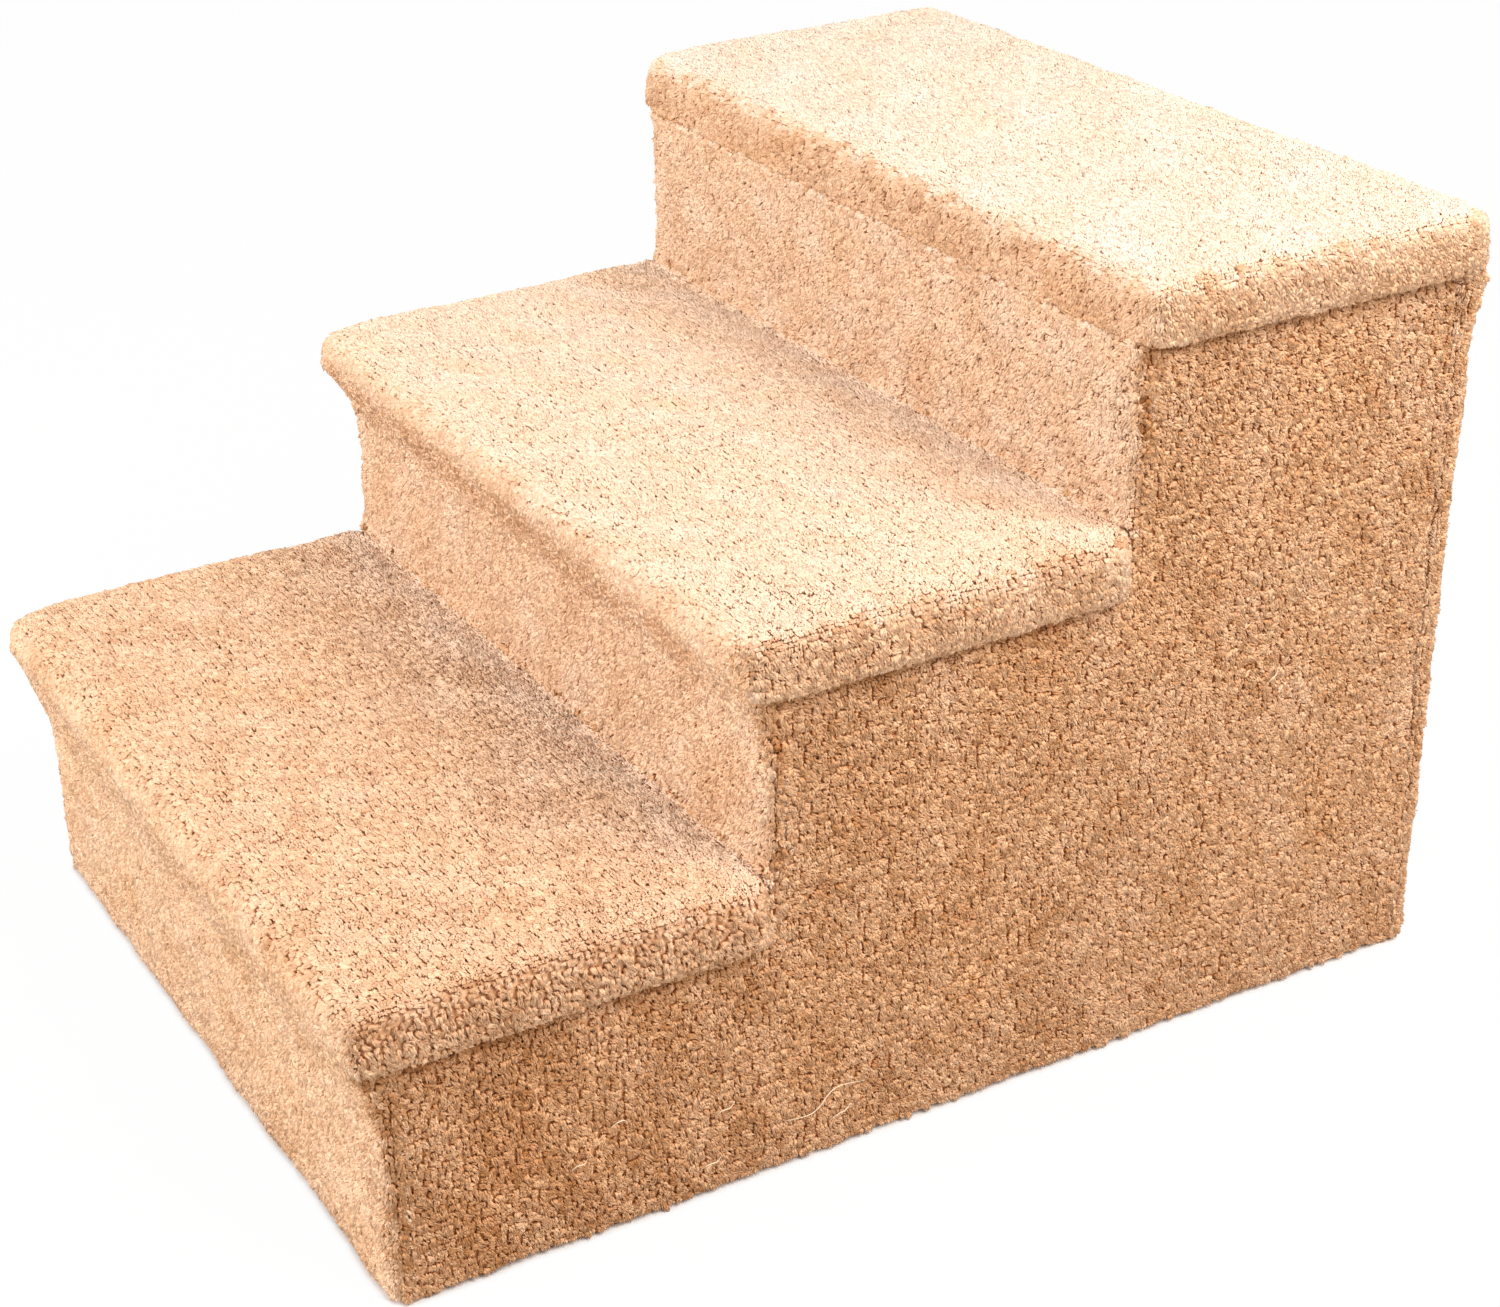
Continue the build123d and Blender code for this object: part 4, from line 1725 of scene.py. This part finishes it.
    def bridge(self, seam: Crease) -> tuple[np.ndarray, np.ndarray]:
        """Squares for tufts that stand across a seam and close it.

        Args:
            seam: a seam that runs straight down on the side.

        Returns:
            The corners of the squares, and the way that each looks.
        """
        chance = np.random.default_rng(self.seed + 40)
        top, foot = np.array(seam.line) * MM
        outward = np.array([math.copysign(1.0, top[0]), 0.0, 0.0])
        rows = math.ceil((top[2] - foot[2]) / self.yarn.pitch)
        middles = np.linspace(top, foot, rows) - outward * (self.yarn.pile - self.foot)
        middles = np.concatenate([middles, middles])
        middles[:, 1] += chance.normal(0, self.bridge_spread, len(middles))
        half = self.yarn.pitch / 2
        corners = [(0, -half, -half), (0, half, -half), (0, half, half), (0, -half, half)]
        squares = middles[:, None] + np.array(corners)[None]
        return squares, np.repeat(outward[None], len(middles), axis=0)

    def grow(self, squares: np.ndarray, normals: np.ndarray, seam: np.ndarray) -> None:
        """Stand a tuft on each bare square of the net, and share them out over pieces.

        Args:
            squares: the four corners of each bare square.
            normals: the way out of the carpet there.
            seam: 1 for the squares inside a seam, 0 for the rest.
        """
        for crease in self.bridged:
            more_squares, more_normals = self.bridge(crease)
            squares = np.concatenate([squares, more_squares])
            normals = np.concatenate([normals, more_normals])
            seam = np.concatenate([seam, np.zeros(len(more_squares))])
        places = squares.mean(axis=1)
        keep = np.ones(len(places), dtype=bool)
        for crease, reach, _ in self.crease_pull(places):
            keep &= reach < crease.gap
        squares, normals, places, seam = squares[keep], normals[keep], places[keep], seam[keep]
        # Just above the floor, only the pile of the turned-in hem may look down
        level = (places[:, 2] < self.floor_reach) & (normals[:, 2] > -0.6)
        normals[level, 2] = np.maximum(normals[level, 2], 0)
        normals = unit(normals)

        order = np.argsort(places[:, 1] + 0.01 * places[:, 2])
        parts = math.ceil(len(places) / self.yarn.most)
        for number, chosen in enumerate(np.array_split(order, parts), start=1):
            lay = self.lay_of(places[chosen], normals[chosen])
            lay["scatter"] += self.seam_scatter * seam[chosen]
            points, faces, values = self.yarn.strands(
                squares[chosen], normals[chosen], lay, self.seed + 100 * number
            )
            piece = make_mesh(f"{self.node}_pile_{number}", points, faces)
            self.mark(piece, values)
            self.spread_map(piece, len(chosen) * self.yarn.plies)
            self.pile.append(piece)
        log.info("grew %d tufts on %s in %d pieces", len(places), self.node, parts)

    def mark(self, piece: Object, values: np.ndarray) -> None:
        """Write the values that the finishes read into a piece of the carpet.

        Args:
            piece: the piece.
            values: height, chance and tone for each point.
        """
        colours = np.ones((len(values), 4), dtype=np.float32)
        colours[:, :3] = np.clip(values, 0, 1)
        attribute = piece.data.attributes.new(PILE_VALUES, "FLOAT_COLOR", "POINT")
        attribute.data.foreach_set("color", colours.ravel())

    def spread_map(self, piece: Object, strand_count: int) -> None:
        """Write each strand's place on the map into a piece of pile.

        Args:
            piece: the piece of pile.
            strand_count: how many strands it has.
        """
        _, corners = read_mesh(piece.data)
        spots = self.yarn.map_of(strand_count)[corners.ravel()].astype(np.float32)
        piece.data.uv_layers.new(name=BAKE_MAP).data.foreach_set("uv", spots.ravel())

    def dress(self, pile: Material, floor: Material) -> None:
        """Give the pile and the shell their finishes, and hand them to the frame.

        Args:
            pile: finish of the strands.
            floor: finish of the shell.
        """
        self.shell.data.materials.append(floor)
        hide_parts(self.node)
        loose = self.lint.dress()
        for piece in (self.shell, *self.pile, *loose):
            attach(piece, BODY)
        for piece in self.pile:
            piece.data.materials.append(pile)
        log.info("dressed %s", self.node)


# Lines of the pale fibres on the right-hand side, as places along Y and Z in millimetres
STRAY_FIBRES = (
    ((-84, 28), (-67, 26), (-58, 39), (-39, 35)),
    ((-58, 19), (-54, 22), (-50, 22), (-47, 25)),
    ((-176, 59), (-173, 62), (-169, 62), (-167, 59)),
    ((-197, 43), (-194, 46), (-190, 45), (-188, 47)),
    ((-121, 45), (-118, 48), (-114, 47), (-111, 49)),
    ((-129, 18), (-125, 20), (-121, 19), (-118, 22)),
    ((191, 183), (193, 187), (196, 188), (198, 192)),
)
FIBRE_RISE = (0.9, 1.9, 1.7, 1.0)  # how far they stand off the side, in millimetres


@dataclass
class StairCarpets:
    """The six cuts of carpet on the stairs.

    Attributes:
        thickness: thickness of the carpet.
        edge: place of the treads' wrapped side edges along X, in millimetres.
        fold_half: half of the length of the folds across the risers, likewise.
        middle_riser: place of the middle riser's carpeted face along Y, likewise.
        top_riser: that of the top riser.
        bands: front, back and foot of each wrapped side edge, likewise.
        cuts: the cuts, once they are built.
    """

    thickness: float = 9 * MM
    edge: float = 233.3
    fold_half: float = 215
    middle_riser: float = -91.75
    top_riser: float = 102.25
    bands: tuple[Place, ...] = ((-296, -100, 128), (-103, 92, 251.5), (108, 290, 371.5))
    cuts: list[Carpet] = field(default_factory=list)

    def tread_top(self, step: str) -> float:
        """Height of a step's tread over its carpet."""
        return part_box("tread_board_" + step)[1][2] + self.thickness

    def riser_face(self, step: str) -> float:
        """Place along Y of a riser's carpeted face."""
        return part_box("riser_board_" + step)[0][1] - self.thickness

    def fold(self, kind: Crease, y: float, z: float) -> Crease:
        """Lay a fold straight across a riser.

        Args:
            kind: the fold, without its line.
            y: place of the riser's face, in millimetres.
            z: height of the fold, likewise.

        Returns:
            The fold.
        """
        return replace(kind, line=((-self.fold_half, y, z), (self.fold_half, y, z)))

    def bottom_step(self) -> Carpet:
        """Plan the cut over the bottom tread and riser.

        Returns:
            The cut.
        """
        return Carpet(
            "carpet_step_bottom",
            flat=(0.547, 0.393),
            area=0.185,
            rests_on=("tread_board_bottom", "riser_board_bottom"),
            seed=11,
            tread_top=self.tread_top("bottom"),
            riser_behind=self.riser_face("middle"),
            drag=1.0,
            front_tone=-0.12,
            bridged=both_sides(CORNER_SEAMS["bottom"]),
            worn=(((180, -170, 163), 330),),
            lint=Lint(specks=((201.7, -146.2, 162.6), (196.9, -229.9, 162.6))),
        )

    def middle_step(self) -> Carpet:
        """Plan the cut over the middle tread and riser.

        Returns:
            The cut.
        """
        end = ((220.4, self.middle_riser, 247.7), (218.9, self.middle_riser, 172))
        corner = ((self.edge, -103, 288), (self.edge, -93, 285.5), (self.edge, -81, 282))
        return Carpet(
            "carpet_step_middle",
            flat=(0.547, 0.335),
            area=0.166,
            rests_on=("tread_board_middle", "riser_board_middle"),
            seed=12,
            tread_top=self.tread_top("middle"),
            riser_behind=self.riser_face("top"),
            drag=0.3,
            front_tone=-0.03,
            creases=(
                *both_sides(
                    replace(RISER_END, line=end), replace(CORNER_FOLD, line=corner, broken=0.0)
                ),
                self.fold(RISER_FOOT, self.middle_riser, 166.5),
            ),
            bridged=both_sides(CORNER_SEAMS["middle"]),
            worn=(((210, -92, 200), 330),),
            lint=Lint(specks=((201, -43.6, 286.1), (11.7, -15.8, 286.1))),
        )

    def riser(self) -> Carpet:
        """Plan the cut on the top riser, with the crease under the nose above it, which has painted
        shade.

        Returns:
            The cut.
        """
        y = self.top_riser
        end = ((214.6, y, 357), (219, y, 339), (224, y, 312))
        return Carpet(
            "carpet_riser_top",
            flat=(0.447, 0.089),
            area=0.0397,
            rests_on=("riser_board_top",),
            seed=13,
            creases=(
                *both_sides(replace(RISER_END, line=end)),
                self.fold(RISER_FOOT, y, 290),
                self.fold(Crease(depth=0.8, broken=0.5), y, 374),
            ),
            bridged=both_sides(CORNER_SEAMS["top"]),
        )

    def top_and_back(self) -> Carpet:
        """Plan the cut over the top tread and down the back.

        Returns:
            The cut.
        """
        corner_folds = (
            ((self.edge, 106, 399), (self.edge, 108, 378)),
            ((self.edge, 110.6, 398), (self.edge, 115, 388), (self.edge, 121, 375)),
        )
        return Carpet(
            "carpet_top_and_back",
            flat=(0.547, 0.658),
            area=0.317,
            rests_on=("tread_board_top", "back_panel"),
            seed=14,
            tread_top=self.tread_top("top"),
            drag=0.0,
            front_tone=-0.16,
            nose_rounds=8,
            rear_strips=True,
            creases=both_sides(*(replace(CORNER_FOLD, line=line) for line in corner_folds)),
            lint=Lint(specks=((192.7, 279.4, 406.1),)),
        )

    def side(self, name: str, seed: int) -> Carpet:
        """Plan the cut on one side.

        Args:
            name: which side.
            seed: picks every chance in it.

        Returns:
            The cut.
        """
        creases = tuple(
            replace(UNDER_BAND, line=((SIDE, front, foot), (SIDE, back, foot)))
            for front, back, foot in self.bands
        )
        fibres = tuple(
            tuple((SIDE + out, y, z) for out, (y, z) in zip(FIBRE_RISE, line))
            for line in STRAY_FIBRES
        )
        right = name == "right"
        return Carpet(
            "carpet_side_" + name,
            flat=(0.57, 0.4),
            area=0.155,
            rests_on=("side_panel_" + name,),
            seed=seed,
            creases=creases if right else tuple(mirrored(crease) for crease in creases),
            lint=Lint(fibres=fibres if right else ()),
        )

    def build(self) -> None:
        """Build each cut."""
        around = Surroundings()
        self.cuts = [
            self.bottom_step(),
            self.middle_step(),
            self.riser(),
            self.top_and_back(),
            self.side("left", 15),
            self.side("right", 16),
        ]
        for cut in self.cuts:
            cut.build(around)

    def dress(self) -> None:
        """Dress each cut in the same pile."""
        pile = CutPile().material()
        floor = PileFloor().material()
        for cut in self.cuts:
            cut.dress(pile, floor)


@dataclass(frozen=True)
class PhotoCamera:
    """The camera, as fitted to the straight edges in the photograph.

    Attributes:
        position: where it stands.
        azimuth: how far it is turned from looking along +Y, in degrees.
        elevation: how far it looks down, in degrees.
        roll: how far it is turned about its own line of sight, in degrees.
        lens_mm: focal length.
        sensor_mm: width of the sensor.
        shift: how far the frame is moved, as shares of its width.
        nearest: how close to it things still show.
    """

    position: Place = (1.1362, -0.6429, 0.8222)
    azimuth: float = 61.63
    elevation: float = 27.79
    roll: float = -1.61
    lens_mm: float = 67.13
    sensor_mm: float = 36.0
    shift: tuple[float, float] = (0.0683, 0.024)
    nearest: float = 10 * MM

    def build(self) -> None:
        """Make the camera and look through it."""
        data = bpy.data.cameras.new("photo_camera")
        data.lens = self.lens_mm
        data.sensor_width = self.sensor_mm
        data.sensor_fit = "HORIZONTAL"
        data.shift_x, data.shift_y = self.shift
        data.clip_start = self.nearest
        camera = bpy.data.objects.new("photo_camera", data)
        turn = Matrix.Rotation(math.radians(self.azimuth), 4, "Z")
        tilt = Matrix.Rotation(math.radians(90 - self.elevation), 4, "X")
        roll = Matrix.Rotation(math.radians(self.roll), 4, "Z")
        camera.matrix_world = Matrix.Translation(self.position) @ turn @ tilt @ roll
        bpy.context.scene.collection.objects.link(camera)
        bpy.context.scene.camera = camera


@dataclass(frozen=True)
class SoftBox:
    """A square studio lamp.

    Attributes:
        name: its name.
        position: where it hangs.
        size: length of a side.
        power: its power in watts.
        target: what it points at, which is the middle of the stairs.
        colour: its colour.
    """

    name: str
    position: Place
    size: float
    power: float
    target: Place = (0.0, 0.0, 0.2)
    colour: str = "#FFFFFF"

    def build(self) -> None:
        """Hang the lamp and point it at its target."""
        data = bpy.data.lights.new(self.name, "AREA")
        data.shape = "SQUARE"
        data.size = self.size
        data.energy = self.power
        data.color = linear(self.colour)[:3]
        lamp = bpy.data.objects.new(self.name, data)
        lamp.location = self.position
        aim = Vector(self.target) - Vector(self.position)
        lamp.rotation_euler = aim.to_track_quat("-Z", "Y").to_euler()
        bpy.context.scene.collection.objects.link(lamp)


@dataclass(frozen=True)
class Studio:
    """Pale floor, white surround and soft lamps.

    Attributes:
        floor_size: length of the floor's sides.
        floor_colour: colour of the floor under the lamps.
        floor_glow: share of plain white in the floor that the camera sees.
        shadow_width: how far from the stairs that glow gives way to their shadow.
        surround_colour: colour of the surround.
        surround_level: strength of its light on the stairs.
        lamps: the lamps, one of them under the stairs, which are open below.
    """

    floor_size: float = 8.0
    floor_colour: str = "#E9E7E4"
    floor_glow: float = 0.97
    shadow_width: float = 5 * MM
    surround_colour: str = "#FFFFFF"
    surround_level: float = 0.5
    lamps: tuple[SoftBox, ...] = (
        SoftBox("front_lamp", (-0.5, -2.2, 1.0), 1.3, 56.0),
        SoftBox("side_lamp", (1.3, 0.5, 1.55), 1.3, 44.5),
        SoftBox("underside_lamp", (0.0, 0.0, 0.012), 0.36, 0.7),
    )

    def camera_share(self, tree: NodeTree, most: float) -> Node:
        """Share of the plain white that the camera, gloss and glass see.

        Args:
            tree: the node tree that gets the nodes.
            most: the share where one of them looks.

        Returns:
            The node that gives it.
        """
        path = add_node(tree, "LightPath")
        seen = path.outputs["Is Camera Ray"]
        for kind in ("Is Glossy Ray", "Is Transmission Ray"):
            seen = add_node(tree, "Math", {0: seen, 1: path.outputs[kind]}, operation="MAXIMUM")
        return add_node(tree, "Math", {0: seen, 1: most}, operation="MULTIPLY")

    def build_floor(self) -> None:
        """Lay the floor, which keeps the shadow and can be looked through from below."""
        half = self.floor_size / 2
        points = np.array([(-half, -half, 0), (half, -half, 0), (half, half, 0), (-half, half, 0)])
        floor = make_mesh("floor", points, np.array([(0, 1, 2, 3)]))
        material, tree = new_material("matt_studio_floor")
        paper = add_node(tree, "BsdfDiffuse", {"Color": self.floor_colour})
        glow = add_node(tree, "Emission", {"Color": self.surround_colour})
        # The glow gives way to the real shadow close to whatever stands on the floor
        shelter = add_node(tree, "AmbientOcclusion", {"Distance": self.shadow_width}, samples=8)
        openness = shelter.outputs["AO"]
        open_share = add_node(
            tree, "MapRange", {"Value": openness, "From Min": 0.5, "From Max": 0.9}
        )
        most = self.camera_share(tree, self.floor_glow)
        glowing = add_node(tree, "Math", {0: most, 1: open_share}, operation="MULTIPLY")
        top = add_node(tree, "MixShader", {"Fac": glowing, 1: paper, 2: glow})
        clear = add_node(tree, "BsdfTransparent")
        from_below = add_node(tree, "NewGeometry").outputs["Backfacing"]
        both = add_node(tree, "MixShader", {"Fac": from_below, 1: top, 2: clear})
        add_node(tree, "OutputMaterial", {"Surface": both})
        floor.data.materials.append(material)

    def build_surround(self) -> None:
        """Light the stairs evenly from all round, against white."""
        world = bpy.data.worlds.new("studio_surround")
        bpy.context.scene.world = world
        world.use_nodes = True
        tree = world.node_tree
        tree.nodes.clear()
        white = self.camera_share(tree, 1.0)
        level = add_node(
            tree, "MapRange", {"Value": white, "To Min": self.surround_level, "To Max": 1.0}
        )
        light = add_node(tree, "Background", {"Color": self.surround_colour, "Strength": level})
        add_node(tree, "OutputWorld", {"Surface": light})

    def build(self) -> None:
        """Set up the floor, the surround and the lamps."""
        self.build_floor()
        self.build_surround()
        for lamp in self.lamps:
            lamp.build()


def write_sizes() -> None:
    """Bring the scene's view layer up to date.
    """
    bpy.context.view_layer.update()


def main() -> None:
    """Build and dress the stairs, then light and frame them."""
    logging.basicConfig(level=logging.INFO, format="%(message)s")
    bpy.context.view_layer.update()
    bpy.context.scene.view_settings.view_transform = "Standard"
    PhotoCamera().build()
    Studio().build()
    Carcass().dress()
    Fixings().dress()
    carpets = StairCarpets()
    carpets.build()
    carpets.dress()
    write_sizes()


if __name__ == "__main__":
    main()
